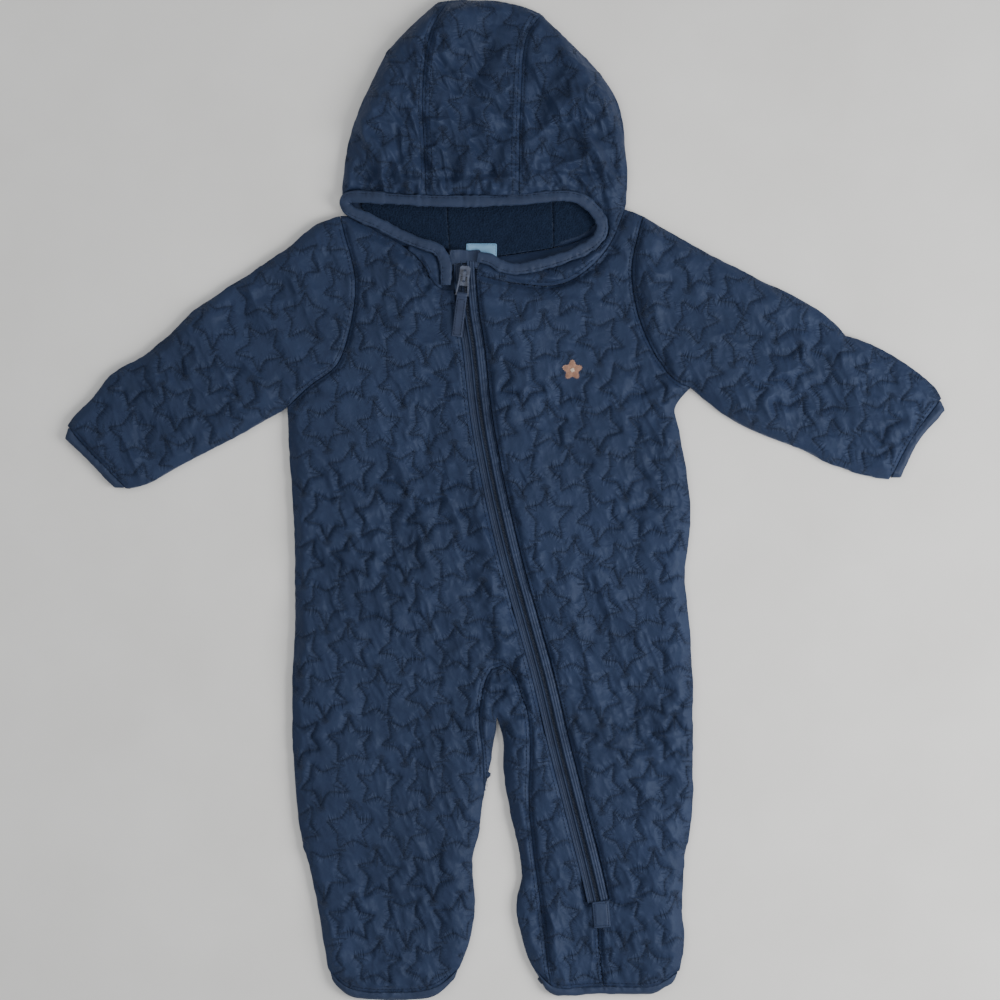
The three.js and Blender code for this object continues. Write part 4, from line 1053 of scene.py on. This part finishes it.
@dataclass
class Panels:
    """The quilted panels: two fronts, the back, two sleeves, the hood and its collar."""

    cut: Cut
    relief: Relief
    finishes: Finishes
    fine: float = 1.22
    hidden: float = 2.6

    def build(self) -> None:
        """Build and dress every panel."""
        body = self.relief.top(BODY_LEVEL)
        sleeve = self.relief.top(SLEEVE_LEVEL)
        hood = self.relief.top(self.relief.hood_level, HOOD_ROUND)
        self.front("front_right", body, Quilt(-20, -12))
        self.front("front_left", body, Quilt(57, 24))
        self.folded("back", body, Quilt(2, -210), Lip.BACK)
        self.folded("sleeve_right", sleeve, Quilt(-351.5, 30.6, 34.2), Lip.FOLDED)
        self.folded("sleeve_left", sleeve, Quilt(354.9, 46.8, 150.9), Lip.FOLDED)
        self.folded("hood_centre", hood, Quilt(-28, 330), Lip.FOLDED)
        self.folded("hood_side_right", hood, Quilt(-96, 318, 12), Lip.FOLDED)
        self.folded("hood_side_left", hood, Quilt(58, 316, -12), Lip.FOLDED)
        self.front("collar_right", self.relief.top(COLLAR_LEVEL), None)

    def under_of(self, name: str, top: Height) -> Height:
        """Height of a panel's inner face."""
        if name.startswith("hood"):
            return lambda p: np.maximum(np.where(p[:, 1] < 262, COLLAR_UNDER, UNDER_FRONT),
                                        top(p) - 4.6)
        return level_plane(COLLAR_UNDER if name.startswith("collar") else UNDER_FRONT)

    def face(self, outline: Plan, top: Height, quilt: Quilt | None) -> Face:
        """Outer face of a panel with its quilting."""
        if quilt is None:
            return Face(self.relief, top)
        lines = quilt.stitched(outline.min(axis=0), outline.max(axis=0))
        return Face(self.relief, top, lines, quilt)

    def front(self, name: str, top: Height, quilt: Quilt | None) -> None:
        """A panel that lies on the back without folding round under it."""
        build = Build()
        outline = self.cut.top[name]
        face = self.face(outline, top, quilt)
        Wall(build, self.relief, outline).add(
            face, self.under_of(name, top), Lip.SEAMED, self.fine)
        piece = build.piece(f"{name}_quilted", self.finishes.shell)
        dress(piece, [name])
        self.declare([outline])
        self.sew(name, outline, face)
        self.topstitch(name, outline, face, (2.6,))

    def folded(self, name: str, top: Height, quilt: Quilt, lip: Lip) -> None:
        """A panel with a lower layer on the surface that the garment lies on."""
        build = Build()
        outline, lower = self.cut.top[name], self.cut.under[name]
        face = self.face(outline, top, quilt)
        Wall(build, self.relief, outline).add(
            face, self.under_of(name, top), Lip.FOLDED, self.fine)
        self.lower(build, lower, quilt, lip)
        piece = build.piece(f"{name}_quilted", self.finishes.shell)
        dress(piece, [name])
        self.declare([outline, lower])
        self.sew(name, outline, face)
        self.topstitch(name, outline, face, (2.6, 6.0) if name == "hood_centre" else (2.6,))

    def sew(self, name: str, outline: Plan, face: Face) -> None:
        """Sew the quilting's thread round every star of a panel."""
        if face.quilt is None:
            return
        build = Build()
        own = Coverage([outline])

        def clear(p: Plan) -> np.ndarray:
            """True where a stitch lies well inside the panel and off its calm places."""
            edge = self.relief.edge.read(self.relief.edge.distance, p)
            seam = self.relief.seam.read(self.relief.seam.distance, p)
            free = np.ones(len(p), bool)
            for spot in CALM_SPOTS:
                free &= np.hypot(p[:, 0] - spot.x, p[:, 1] - spot.y) > spot.radius
            return own.at(p) & (edge > 3.0) & (seam > 2.5) & free

        for star in face.quilt.stars(outline.min(axis=0), outline.max(axis=0)):
            ring = np.vstack([star, star[:1]])
            Thread().sew(build, ring, face.height, clear)
        piece = build.piece(f"{name}_star_stitches", self.finishes.thread, False)
        dress(piece, [])

    def topstitch(self, name: str, outline: Plan, face: Face, rows: Sequence[float]) -> None:
        """Sew rows of thread beside a panel's seams."""
        build = Build()
        ring = resampled(np.vstack([outline, outline[:1]]), 1.5)[:-1]
        inward = normals_of(ring, closed=True)
        rim = curve(RIM_LINE, 4.0)[:, :2]
        clear = np.linalg.norm(ring[:, None] - rim[None], axis=2).min(axis=1) > 13
        seamed = ~self.relief.is_outer(ring) & clear
        start = int(np.argmin(seamed)) if not seamed.all() else 0
        order = np.roll(np.arange(len(ring)), -start)
        for row in rows:
            run: list[Plan] = []
            for i in [*order, -1]:
                if i >= 0 and seamed[i]:
                    run.append(ring[i] + inward[i] * row)
                elif run:
                    if len(run) > 8:
                        Thread(2.6, 0.8, 0.42).sew(build, np.array(run[2:-2]), face.height)
                    run = []
        if build.count:
            piece = build.piece(f"{name}_topstitching", self.finishes.thread, False)
            dress(piece, [])

    def lower(self, build: Build, outline: Plan, quilt: Quilt, lip: Lip) -> None:
        """The layer that rests on the surface: flat between its sunk stitching."""
        p, tris, edge = filled(resampled(np.vstack([outline, outline[:1]]), 2.4)[:-1], self.hidden)
        ring, n = p[edge], len(edge)
        lines = quilt.stitched(p.min(axis=0), p.max(axis=0))
        d = lines.read(lines.distance, p)
        z = 1.5 * np.exp(-(d / 2.4) ** 1.3) + 0.35 * np.abs(noise(p, 13.0, 61))
        z[edge] = 0.6
        rest = build.add(np.column_stack([p, z]),
                         np.column_stack([lines.read(lines.along, p), d]))
        build.join(tris[:, ::-1] + rest)
        inward = sum(np.roll(normals_of(ring, closed=True), k, axis=0) for k in range(-3, 4))
        inward /= np.maximum(np.linalg.norm(inward, axis=1, keepdims=True), 1e-9)
        outer = self.relief.is_outer(ring + inward * -0.5)
        below = edge + rest
        for inset, height in Lip.BACK.value[1:]:
            xy = ring + inward * np.where(outer, inset, 0.2)[:, None]
            row = build.add(np.column_stack([xy, np.full(n, height)])) + np.arange(n)
            build.strip(row, below)
            below = row
        build.close(ring, below, level_plane(BACK_TOP), up=True)

    def declare(self, outlines: Sequence[Plan]) -> None:
        """State a panel's flat cut: its outlines' boxes side by side, and their area."""
        area = sum(area_of(o) for o in outlines) * 1.04


ZIP_LINE = [(-34.5, 202), (-34, 187), (-31.5, 160), (-26.5, 128), (-22, 85), (-17, 51), (-7, 0),
            (5, -51), (19, -102), (33, -153), (45, -204), (58, -255), (71, -306), (79, -340)]
RIM_LINE = [
    (-50, 182, 9.6), (-50.4, 200, 9.6), (-57, 212, 9.4), (-72, 217.5, 9.4), (-89, 224.5, 9.3),
    (-106, 233.5, 9.2), (-121, 240, 9.1), (-131.5, 245, 9.3), (-135.5, 251, 9.6),
    (-132, 256, 10.4), (-121, 256.5, 12.6), (-89, 254, 14.6), (-55, 252.5, 15), (-21, 252.5, 15),
    (13, 254, 15), (38, 256.5, 14.4), (53, 257, 13.4), (65, 254, 12.2), (75, 246, 10.8),
    (82, 235, 10), (81, 225, 9.6), (73, 216.0, 9.6), (60, 209, 9.6), (42, 202.6, 9.6),
    (23, 197.6, 9.6), (8, 195.6, 9.6), (-4, 198.4, 9.7), (-12, 203.4, 9.9), (-23.5, 206, 9.6),
]


@dataclass
class Sweep:
    """A closed strip carried along a line: its section's offsets and heights."""

    line: np.ndarray
    offsets: np.ndarray
    under: float

    def add(self, build: Build, height: Callable[[np.ndarray, np.ndarray], np.ndarray]) -> None:
        """Add the strip's faces.

        Args:
            build: the mesh to add to.
            height: height from places along the line and across it, in millimetres.
        """
        n, m = len(self.line), len(self.offsets)
        steps = np.linalg.norm(np.diff(self.line[:, :2], axis=0), axis=1)
        along = np.concatenate([[0], np.cumsum(steps)])
        side = normals_of(self.line[:, :2])
        a, u = np.meshgrid(along, self.offsets, indexing="ij")
        xy = self.line[:, None, :2] + side[:, None] * self.offsets[None, :, None]
        z = height(a.ravel(), u.ravel()).reshape(n, m)
        top = np.concatenate([xy, z[:, :, None]], axis=2).reshape(-1, 3)
        low = top.copy()
        low[:, 2] = self.under
        t = build.add(top, np.column_stack([a.ravel(), np.abs(u.ravel())]))
        b = build.add(low)
        grid = np.arange(n * m).reshape(n, m)
        q = [grid[:-1, :-1], grid[1:, :-1], grid[1:, 1:], grid[:-1, 1:]]
        q = [k.ravel() for k in q]
        build.join(np.column_stack([q[0], q[2], q[1]]) + t)
        build.join(np.column_stack([q[0], q[3], q[2]]) + t)
        build.join(np.column_stack([q[0], q[1], q[2]]) + b)
        build.join(np.column_stack([q[0], q[2], q[3]]) + b)
        ring = np.concatenate([grid[0], grid[1:, -1], grid[-1, -2::-1], grid[-2:0:-1, 0]])
        after = np.roll(ring, -1)
        build.join(np.column_stack([ring + t, after + t, after + b]))
        build.join(np.column_stack([ring + t, after + b, ring + b]))


@dataclass
class Zip:
    """Zip tapes with their ribs, the coil between them and the stitched flap beside it."""

    relief: Relief
    finishes: Finishes
    half_width: float = 9.4
    under: float = 6.0
    tape_top: float = 7.3
    flap_top: float = 8.9
    tooth_pitch: float = 1.25

    def build(self) -> None:
        """Build and dress the tapes and the coil."""
        line = curve(ZIP_LINE, 1.0)
        self.tape(line)
        self.flap(line)
        self.coil(line)
        self.garage()

    def tape(self, line: Plan) -> None:
        """Recessed tape on the wearer's right, ribbed along its length."""
        def height(a: np.ndarray, u: np.ndarray) -> np.ndarray:
            """Ribs beside a raised cord at the coil."""
            u = -u
            well = 1.0 - smooth((u - 1.2) / 0.9)
            cord = 1.5 * np.exp(-((u - 2.7) / 0.75) ** 2)
            ribs = 0.28 * np.cos(u * 2 * math.pi / 1.6) * smooth((u - 3.6) / 0.8)
            rise = 1.8 * smooth((u - 7.6) / 1.6)
            wave = 0.45 * noise(np.column_stack([a, u]), 14.0, 71)
            return self.tape_top - 0.8 * well + cord + ribs + rise + wave * smooth(u / 3)
        build = Build()
        offsets = -np.arange(0.5, self.half_width, 0.45)[::-1]
        Sweep(line, offsets, self.under).add(build, height)
        piece = build.piece("zip_tape_ribbed", self.finishes.tape)
        dress(piece, ["zip_tape_right"])

    def flap(self, line: Plan) -> None:
        """Folded band on the wearer's left, with two rows of stitching."""
        def height(a: np.ndarray, u: np.ndarray) -> np.ndarray:
            """Rounded edge, stitched grooves and small waves."""
            well = 1.0 - smooth((u - 1.1) / 1.1)
            wave = noise(np.column_stack([a, u * 0.4]), 9.0, 77)
            fine = noise(np.column_stack([a, u * 0.3]), 2.6, 79)
            lip = 0.7 * np.exp(-((u - 2.8) / 0.6) ** 2)
            rows = (np.exp(-((u - 4.0) / 0.45) ** 2) + 0.8 * np.exp(-((u - 6.1) / 0.5) ** 2)
                    + 1.2 * np.exp(-((u - 8.4) / 0.5) ** 2))
            return (self.flap_top - 2.4 * well + lip - 0.85 * rows + 0.5 * wave
                    + 0.3 * fine * (1 + rows))
        build = Build()
        offsets = np.arange(0.5, self.half_width, 0.45)
        Sweep(line, offsets, self.under).add(build, height)
        piece = build.piece("zip_flap", self.finishes.binding)
        dress(piece, ["zip_tape_left"])

    def garage(self) -> None:
        """Small gathered cloth over the upper ends of the tapes."""
        def height(p: Plan) -> np.ndarray:
            """Pleats that run down to the slider."""
            pleats = noise(np.column_stack([p[:, 0] + p[:, 1] * 0.12, p[:, 1] * 0.2]), 2.6, 97)
            return 8.9 + 0.9 * pleats + 0.5 * noise(p, 6.0, 99)
        build = Build()
        corners = [(-47, 199.5), (-47.4, 206), (-46, 211.6), (-38, 212.2), (-31, 211.2),
                   (-21.5, 212), (-21.5, 205), (-23, 196), (-27.5, 197.5), (-30, 200.6),
                   (-38.5, 200.6)]
        outline = resampled(np.array(corners + corners[:1], float), 1.0)[:-1]
        Wall(build, self.relief, outline).add(
            Face(self.relief, height), level_plane(6.8), Lip.INNER, 0.7)
        piece = build.piece("zip_garage", self.finishes.binding)
        dress(piece, [])

    def coil(self, line: Plan) -> None:
        """Small loops of the coil, set across the gap between the tapes."""
        build = Build()
        places = resampled(line, self.tooth_pitch)
        side = normals_of(places)
        ahead = np.column_stack([side[:, 1], -side[:, 0]])
        corners = []
        for across, along, z in ((-1.3, -0.35, 6.9), (-1.3, 0.35, 6.9), (1.0, 0.35, 6.9),
                                 (1.0, -0.35, 6.9), (-1.0, -0.2, 8.0), (-1.0, 0.2, 8.0),
                                 (0.7, 0.2, 8.0), (0.7, -0.2, 8.0)):
            xy = places + side * across + ahead * along
            corners.append(np.column_stack([xy, np.full(len(xy), z)]))
        block = np.stack(corners, axis=1)
        start = build.add(block.reshape(-1, 3))
        faces = np.array([(4, 7, 6), (4, 6, 5), (0, 1, 2), (0, 2, 3), (0, 4, 5), (0, 5, 1),
                          (1, 5, 6), (1, 6, 2), (2, 6, 7), (2, 7, 3), (3, 7, 4), (3, 4, 0)])
        many = faces[None] + 8 * np.arange(len(places))[:, None, None]
        build.join(many.reshape(-1, 3) + start)
        piece = build.piece("zip_coil", self.finishes.coil, False)
        dress(piece, [])


@dataclass
class Bindings:
    """Elastic bindings round the cuffs, the hems and the face opening."""

    cut: Cut
    relief: Relief
    finishes: Finishes
    rim_width: float = 9.8
    rim_height: float = 2.1

    def build(self) -> None:
        """Build and dress every binding."""
        for name in ("cuff_binding_right", "cuff_binding_left", "hem_binding_right",
                     "hem_binding_left"):
            self.flat(name)
        self.rim()

    def flat(self, name: str) -> None:
        """A binding pressed flat over the end of a sleeve or leg."""
        build = Build()
        outline = self.cut.top[name]
        along = self.relief.top(9.4, 5.0)
        Wall(build, self.relief, outline).add(
            Face(self.relief, along), level_plane(0.2), Lip.FOLDED, 1.0)
        piece = build.piece(f"{name}_cloth", self.finishes.binding)
        dress(piece, [name])
        size = outline.max(axis=0) - outline.min(axis=0)
        length = float(np.hypot(*size))
        max(area_of(outline) * 1.9, 0.31 * 28 * length)

    def rim(self) -> None:
        """Rounded band round the face opening, gathered by its elastic."""
        line = curve(RIM_LINE, 0.9)
        n, sides = len(line), 22
        steps = np.linalg.norm(np.diff(line, axis=0), axis=1)
        along = np.concatenate([[0], np.cumsum(steps)])
        side = normals_of(line[:, :2])
        turn = np.arange(sides) * 2 * math.pi / sides
        a, t = np.meshgrid(along, turn, indexing="ij")
        place = np.column_stack([a.ravel(), np.sin(t.ravel()) * 3])
        ripple = noise(place * (1, 0.35), 3.4, 91).reshape(a.shape)
        swell = noise(place * (1, 0.2), 11.0, 93).reshape(a.shape)
        grow = 1 + 0.10 * ripple + 0.06 * swell
        across = np.sign(np.cos(t)) * np.abs(np.cos(t)) ** 0.72 * self.rim_width / 2 * grow
        pleat = noise(np.column_stack([a.ravel(), across.ravel() * 0.25]), 3.0, 95).reshape(a.shape)
        seam = 0.55 * np.exp(-(((across + 2.7) / 0.8) ** 2)) * (np.sin(t) > 0)
        rise = np.sign(np.sin(t)) * np.abs(np.sin(t)) ** 0.7 * self.rim_height
        z = line[:, 2:3] + rise * grow - seam + 0.45 * pleat * (across < 1) * (np.sin(t) > 0)
        xy = line[:, None, :2] - side[:, None] * across[:, :, None]
        build = Build()
        rings = np.concatenate([xy, z[:, :, None]], axis=2).reshape(-1, 3)
        start = build.add(rings, np.column_stack([a.ravel(), np.abs(across).ravel()]))
        for i in range(n - 1):
            row = start + i * sides + np.arange(sides)
            build.strip(row + sides, row)
        for i, flip in ((0, 1), (n - 1, -1)):
            middle = build.add(line[i:i + 1])
            k = start + i * sides + np.arange(sides)
            fan = np.column_stack([np.full(sides, middle), np.roll(k, -1), k])
            build.join(fan[:, ::flip])
        self.rim_thread(line)
        piece = build.piece("rim_band", self.finishes.binding)
        dress(piece, ["hood_binding"])


    def rim_thread(self, line: np.ndarray) -> None:
        """One row of stitches along the band."""
        row = line[:, :2] + normals_of(line[:, :2]) * 2.7

        def height(p: Plan) -> np.ndarray:
            """Top of the band at the stitched row."""
            apart = np.linalg.norm(p[:, None] - row[None], axis=2)
            return line[np.argmin(apart, axis=1), 2] + self.rim_height * 0.62

        build = Build()
        Thread(2.4, 0.9, 0.4).sew(build, row, height)
        piece = build.piece("rim_stitches", self.finishes.thread, False)
        dress(piece, [])


@dataclass
class Lining:
    """Fleece that shows inside the face opening."""

    cut: Cut
    relief: Relief
    finishes: Finishes
    top: float = 5.5
    under: float = 4.5

    def build(self) -> None:
        """Build and dress the three pieces of lining."""
        for name in ("hood_lining_centre", "hood_lining_right", "hood_lining_left"):
            build = Build()
            outline = self.cut.top[name]
            Wall(build, self.relief, outline).add(
                Face(self.relief, self.pile), level_plane(self.under), Lip.INNER, 1.4)
            piece = build.piece(f"{name}_pile", self.finishes.fleece)
            dress(piece, [name])
            size = outline.max(axis=0) - outline.min(axis=0)
            max(area_of(outline), 0.31 * size[0] * size[1])

    def pile(self, p: Plan) -> np.ndarray:
        """Uneven top of the brushed pile, sunk at its seams."""
        s = self.relief.seam.read(self.relief.seam.distance, p)
        nap = 0.25 * noise(p, 2.6, 101) + 0.35 * noise(p, 7.5, 103)
        return self.top + nap - 0.7 * np.exp(-(s / 2.0) ** 2)


@dataclass
class Flower:
    """Generic five-petalled flower in satin stitch."""

    finishes: Finishes
    x: float = 57.0
    y: float = 110.0
    radius: float = 7.3
    wave: float = 1.6
    petals: int = 5
    base: float = 10.15
    thick: float = 0.62

    def build(self) -> None:
        """Build and dress the petals and the flower's middle."""
        petals, heart = Build(), Build()
        for k in range(76):
            a = 2 * math.pi * k / 76
            lobe = math.cos(self.petals * a)
            reach = self.radius + self.wave * lobe - 0.5 * (k % 2)
            self.strand(petals, a, 1.6, reach, 0.45 + 0.22 * lobe)
        for k in range(26):
            a = 2 * math.pi * k / 26
            self.strand(heart, a + 0.3 * (k % 3), 0.1, 1.5 + 0.5 * (k % 2), 0.75)
        dress(petals.piece("flower_petals", self.finishes.embroidery),
              ["chest_flower"])
        dress(heart.piece("flower_heart", self.finishes.cream), [])

    def strand(self, build: Build, angle: float, start: float, end: float, rise: float) -> None:
        """One rounded strand from near the middle outwards."""
        out = np.array([math.sin(angle), math.cos(angle)])
        side = np.array([-out[1], out[0]])
        t = np.linspace(0, 1, 6)
        rows = []
        for share in t:
            spread = self.thick * (0.45 + 0.45 * share)
            arch = math.sin(math.pi * min(1, 0.12 + 0.86 * share)) ** 0.6
            for across, lift in ((-0.5, 0.0), (-0.28, 0.8), (0.0, 1.0), (0.28, 0.8), (0.5, 0.0)):
                at = np.array([self.x, self.y]) + out * (start + (end - start) * share)
                at = at + side * across * spread * 1.5
                rows.append((*at, self.base + (0.12 + rise * lift) * arch))
        first = build.add(np.array(rows))
        grid = np.arange(30).reshape(6, 5) + first
        a, b, c, d = (g.ravel() for g in (grid[:-1, :-1], grid[1:, :-1], grid[1:, 1:],
                                           grid[:-1, 1:]))
        build.join(np.column_stack([a, c, b]))
        build.join(np.column_stack([a, d, c]))
        e, f = grid[:-1, 0], grid[1:, 0]
        g, h = grid[:-1, -1], grid[1:, -1]
        build.join(np.column_stack([e, f, h]))
        build.join(np.column_stack([e, h, g]))
        for row, turn in ((grid[0], 1), (grid[-1], -1)):
            fan = [(row[0], row[k], row[k + 1]) for k in range(1, 4)]
            build.join(np.array(fan)[:, ::turn])


@dataclass
class FlatTrims:
    """Stitched patch under the zip's end, and the plain neck label."""

    relief: Relief
    finishes: Finishes

    def build(self) -> None:
        """Build and dress both."""
        self.flat("zip_end_patch", 9.7, 10.9, "binding_cloth", self.finishes.binding,
                  self.finishes.thread, 1.5)
        self.flat("neck_label", 5.8, 6.6, "label_cloth", self.finishes.label,
                  self.finishes.label_thread, 1.1)

    def flat(self, name: str, under: float, top: float, slot: str,
             material: bpy.types.Material, thread: bpy.types.Material, margin: float) -> None:
        """A small flat piece with stitches inside its edge."""
        outline = packed_outline(name, Side.TOP)[0]
        build = Build()
        corners = resampled(np.vstack([outline, outline[:1]]), 1.0)[:-1]

        def cloth(p: Plan) -> np.ndarray:
            """Slightly cushioned cloth, drawn down at its stitches."""
            rim = PlanMap(outline.min(axis=0), outline.max(axis=0), 0.3, 4.0)
            rim.stamp(outline, closed=True)
            d = rim.read(rim.distance, p)
            drawn = 0.35 * np.exp(-((d - margin) / 0.5) ** 2) + 0.4 * np.exp(-(d / 0.5) ** 2)
            return top + 0.25 * smooth(d / 3) - drawn + 0.12 * noise(p, 3.2, 111)

        Wall(build, self.relief, corners).add(
            Face(self.relief, cloth), level_plane(under), Lip.INNER, 0.6)
        dress(build.piece(f"{name}_cloth", material), [name])
        row = corners + normals_of(corners, closed=True) * margin
        sewn = Build()
        Thread(1.5, 0.7, 0.32).sew(sewn, np.vstack([row, row[:1]]), cloth)
        dress(sewn.piece(f"{name}_stitches", thread, False), [])


@dataclass
class Pull:
    """Slider and bail, which keep their solids' shape, and the cloth pull on the bail."""

    finishes: Finishes
    x: float = -34.41
    y: float = 189.6
    lean: float = -7.0
    hinge: float = 13.0
    eye: float = -16.35
    loop: float = 1.85
    length: float = 35.5
    width: float = 8.8
    thick: float = 0.8

    def build(self) -> None:
        """Give the metal its finish, and build the ribbon."""
        for name in ("zip_slider", "pull_bail"):
            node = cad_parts[name]
            if not node.material_slots:
                node.data.materials.append(self.finishes.enamel)
            for slot in node.material_slots:
                slot.link = "OBJECT"
                slot.material = self.finishes.enamel
        self.ribbon()

    def placed(self, local: np.ndarray) -> np.ndarray:
        """Points from the pull's own axes to the garment's."""
        a = math.radians(self.lean)
        x = self.x + local[:, 0] * math.cos(a) - local[:, 1] * math.sin(a)
        y = self.y + local[:, 0] * math.sin(a) + local[:, 1] * math.cos(a)
        return np.column_stack([x, y, self.hinge + local[:, 2]])

    def ribbon(self) -> None:
        """A strap folded through the bail, its two layers sewn together."""
        half = self.thick / 2 + 0.03
        turn = np.linspace(math.pi / 2 + 0.35, -math.pi / 2 - 0.35, 15)
        straight = np.linspace(0, 1, 38)[:, None]
        end = self.eye - self.length
        arc = np.column_stack([self.eye + self.loop * np.sin(turn + math.pi / 2) * 0.0
                               + self.loop * np.cos(turn), self.loop * np.sin(turn)])
        upper = (1 - straight) * np.array([[end, half]]) + straight * np.array(
            [[self.eye - 2.6, half]])
        lower = upper[::-1] * (1, -1)
        path = resampled(np.vstack([upper, arc, lower]), 0.8)
        side = normals_of(path)
        columns = np.linspace(-self.width / 2, self.width / 2, 17)
        build, grids = Build(), []
        for face in (0.5, -0.5):
            sheet_rows = []
            for x in columns:
                rib = 0.06 * math.cos(x * 2 * math.pi / 1.0) - 0.25 * (abs(x) > 4.3)
                q = path + side * face * (self.thick + rib)
                sheet_rows.append(np.column_stack([np.full(len(q), x), q]))
            block = np.stack(sheet_rows, axis=1)
            first = build.add(self.placed(block.reshape(-1, 3)))
            grids.append(np.arange(block.shape[0] * block.shape[1]).reshape(block.shape[:2]) + first)
        for grid, turn_ in zip(grids, (1, -1)):
            a, b, c, d = (g.ravel() for g in (grid[:-1, :-1], grid[1:, :-1], grid[1:, 1:],
                                               grid[:-1, 1:]))
            build.join(np.column_stack([a, b, c])[:, ::turn_])
            build.join(np.column_stack([a, c, d])[:, ::turn_])
        rims = [np.concatenate([g[0], g[1:, -1], g[-1, -2::-1], g[-2:0:-1, 0]]) for g in grids]
        build.strip(rims[1], rims[0])
        piece = build.piece("pull_strap", self.finishes.ribbon)
        dress(piece, ["pull_ribbon"], "pull_tab")
        sewn = Build()
        top = self.hinge + half + self.thick / 2
        for x in (-2.9, 2.9):
            ends = self.placed(np.array([[x, end + 1.5, 0], [x, self.eye - 4.0, 0]]))
            Thread(1.8, 0.7, 0.32).sew(sewn, ends[:, :2], level_plane(top))
        for y in (end + 1.5, self.eye - 4.0):
            ends = self.placed(np.array([[-2.9, y, 0], [2.9, y, 0]]))
            Thread(1.3, 0.5, 0.32).sew(sewn, ends[:, :2], level_plane(top))
        dress(sewn.piece("pull_stitches", self.finishes.thread, False), [],
              "pull_tab")


@dataclass
class Studio:
    """Pale floor, soft lights and a camera straight above."""

    frame_width: float = 0.850
    shift: float = -0.00425
    distance: float = 2.4

    def build(self) -> None:
        """Make the floor, lights and camera."""
        self.floor()
        self.light("window_softbox", (1.15, -0.25, 0.95), 0.9, 27.0)
        self.light("overhead_softbox", (-0.7, 0.6, 1.7), 1.6, 11.0)
        self.light("foot_softbox", (-0.3, -1.5, 1.5), 1.6, 7.0)
        world = bpy.data.worlds.new("studio")
        world.use_nodes = True
        world.node_tree.nodes["Background"].inputs[0].default_value = (0.9, 0.94, 1.0, 1.0)
        world.node_tree.nodes["Background"].inputs[1].default_value = 0.42
        bpy.context.scene.world = world
        self.camera()

    def floor(self) -> None:
        """A wide plane just under the garment."""
        size = 3.0
        mesh = bpy.data.meshes.new("floor")
        corners = [(-size, -size, 0), (size, -size, 0), (size, size, 0), (-size, size, 0)]
        mesh.from_pydata([(x, y, -0.0002) for x, y, _ in corners], [], [(0, 1, 2, 3)])
        mesh.materials.append(PaleFloor("pale_floor").make())
        plane = bpy.data.objects.new("floor", mesh)
        bpy.context.scene.collection.objects.link(plane)

    def light(self, name: str, place: Sequence[float], size: float, power: float) -> None:
        """A square soft light that faces the garment."""
        data = bpy.data.lights.new(name, "AREA")
        data.size, data.energy = size, power
        lamp = bpy.data.objects.new(name, data)
        lamp.location = place
        lamp.rotation_euler = (-Vector(place)).to_track_quat("-Z", "Y").to_euler()
        bpy.context.scene.collection.objects.link(lamp)

    def camera(self) -> None:
        """A long lens straight above, framed as wide as the photograph."""
        data = bpy.data.cameras.new("camera")
        data.sensor_width = 36.0
        data.lens = 36.0 * self.distance / self.frame_width
        eye = bpy.data.objects.new("camera", data)
        eye.location = (self.shift, 0.0, self.distance)
        bpy.context.scene.collection.objects.link(eye)
        bpy.context.scene.camera = eye


PANEL_NAMES = ("front_right", "front_left", "back", "sleeve_right", "sleeve_left",
               "hood_centre", "hood_side_right", "hood_side_left", "collar_right")
FOLDED_NAMES = PANEL_NAMES[2:8]
BAND_NAMES = ("cuff_binding_right", "cuff_binding_left", "hem_binding_right",
              "hem_binding_left")
LINING_NAMES = ("hood_lining_centre", "hood_lining_right", "hood_lining_left")
TAPE_NAMES = ("zip_tape_right", "zip_tape_left")


def main() -> None:
    """Build every piece in the garment's making order."""
    logging.basicConfig(level=logging.INFO, format="%(relativeCreated)d ms %(message)s")
    Studio().build()
    finishes = Finishes.made()
    log.info("finishes made")
    cut = Cut.read(PANEL_NAMES + BAND_NAMES + LINING_NAMES + TAPE_NAMES, FOLDED_NAMES)
    log.info("outlines read")
    relief = Relief(cut.top)
    log.info("relief mapped")
    Panels(cut, relief, finishes).build()
    Bindings(cut, relief, finishes).build()
    Lining(cut, relief, finishes).build()
    Zip(relief, finishes).build()
    Flower(finishes).build()
    FlatTrims(relief, finishes).build()
    Pull(finishes).build()


if __name__ == "__main__":
    main()
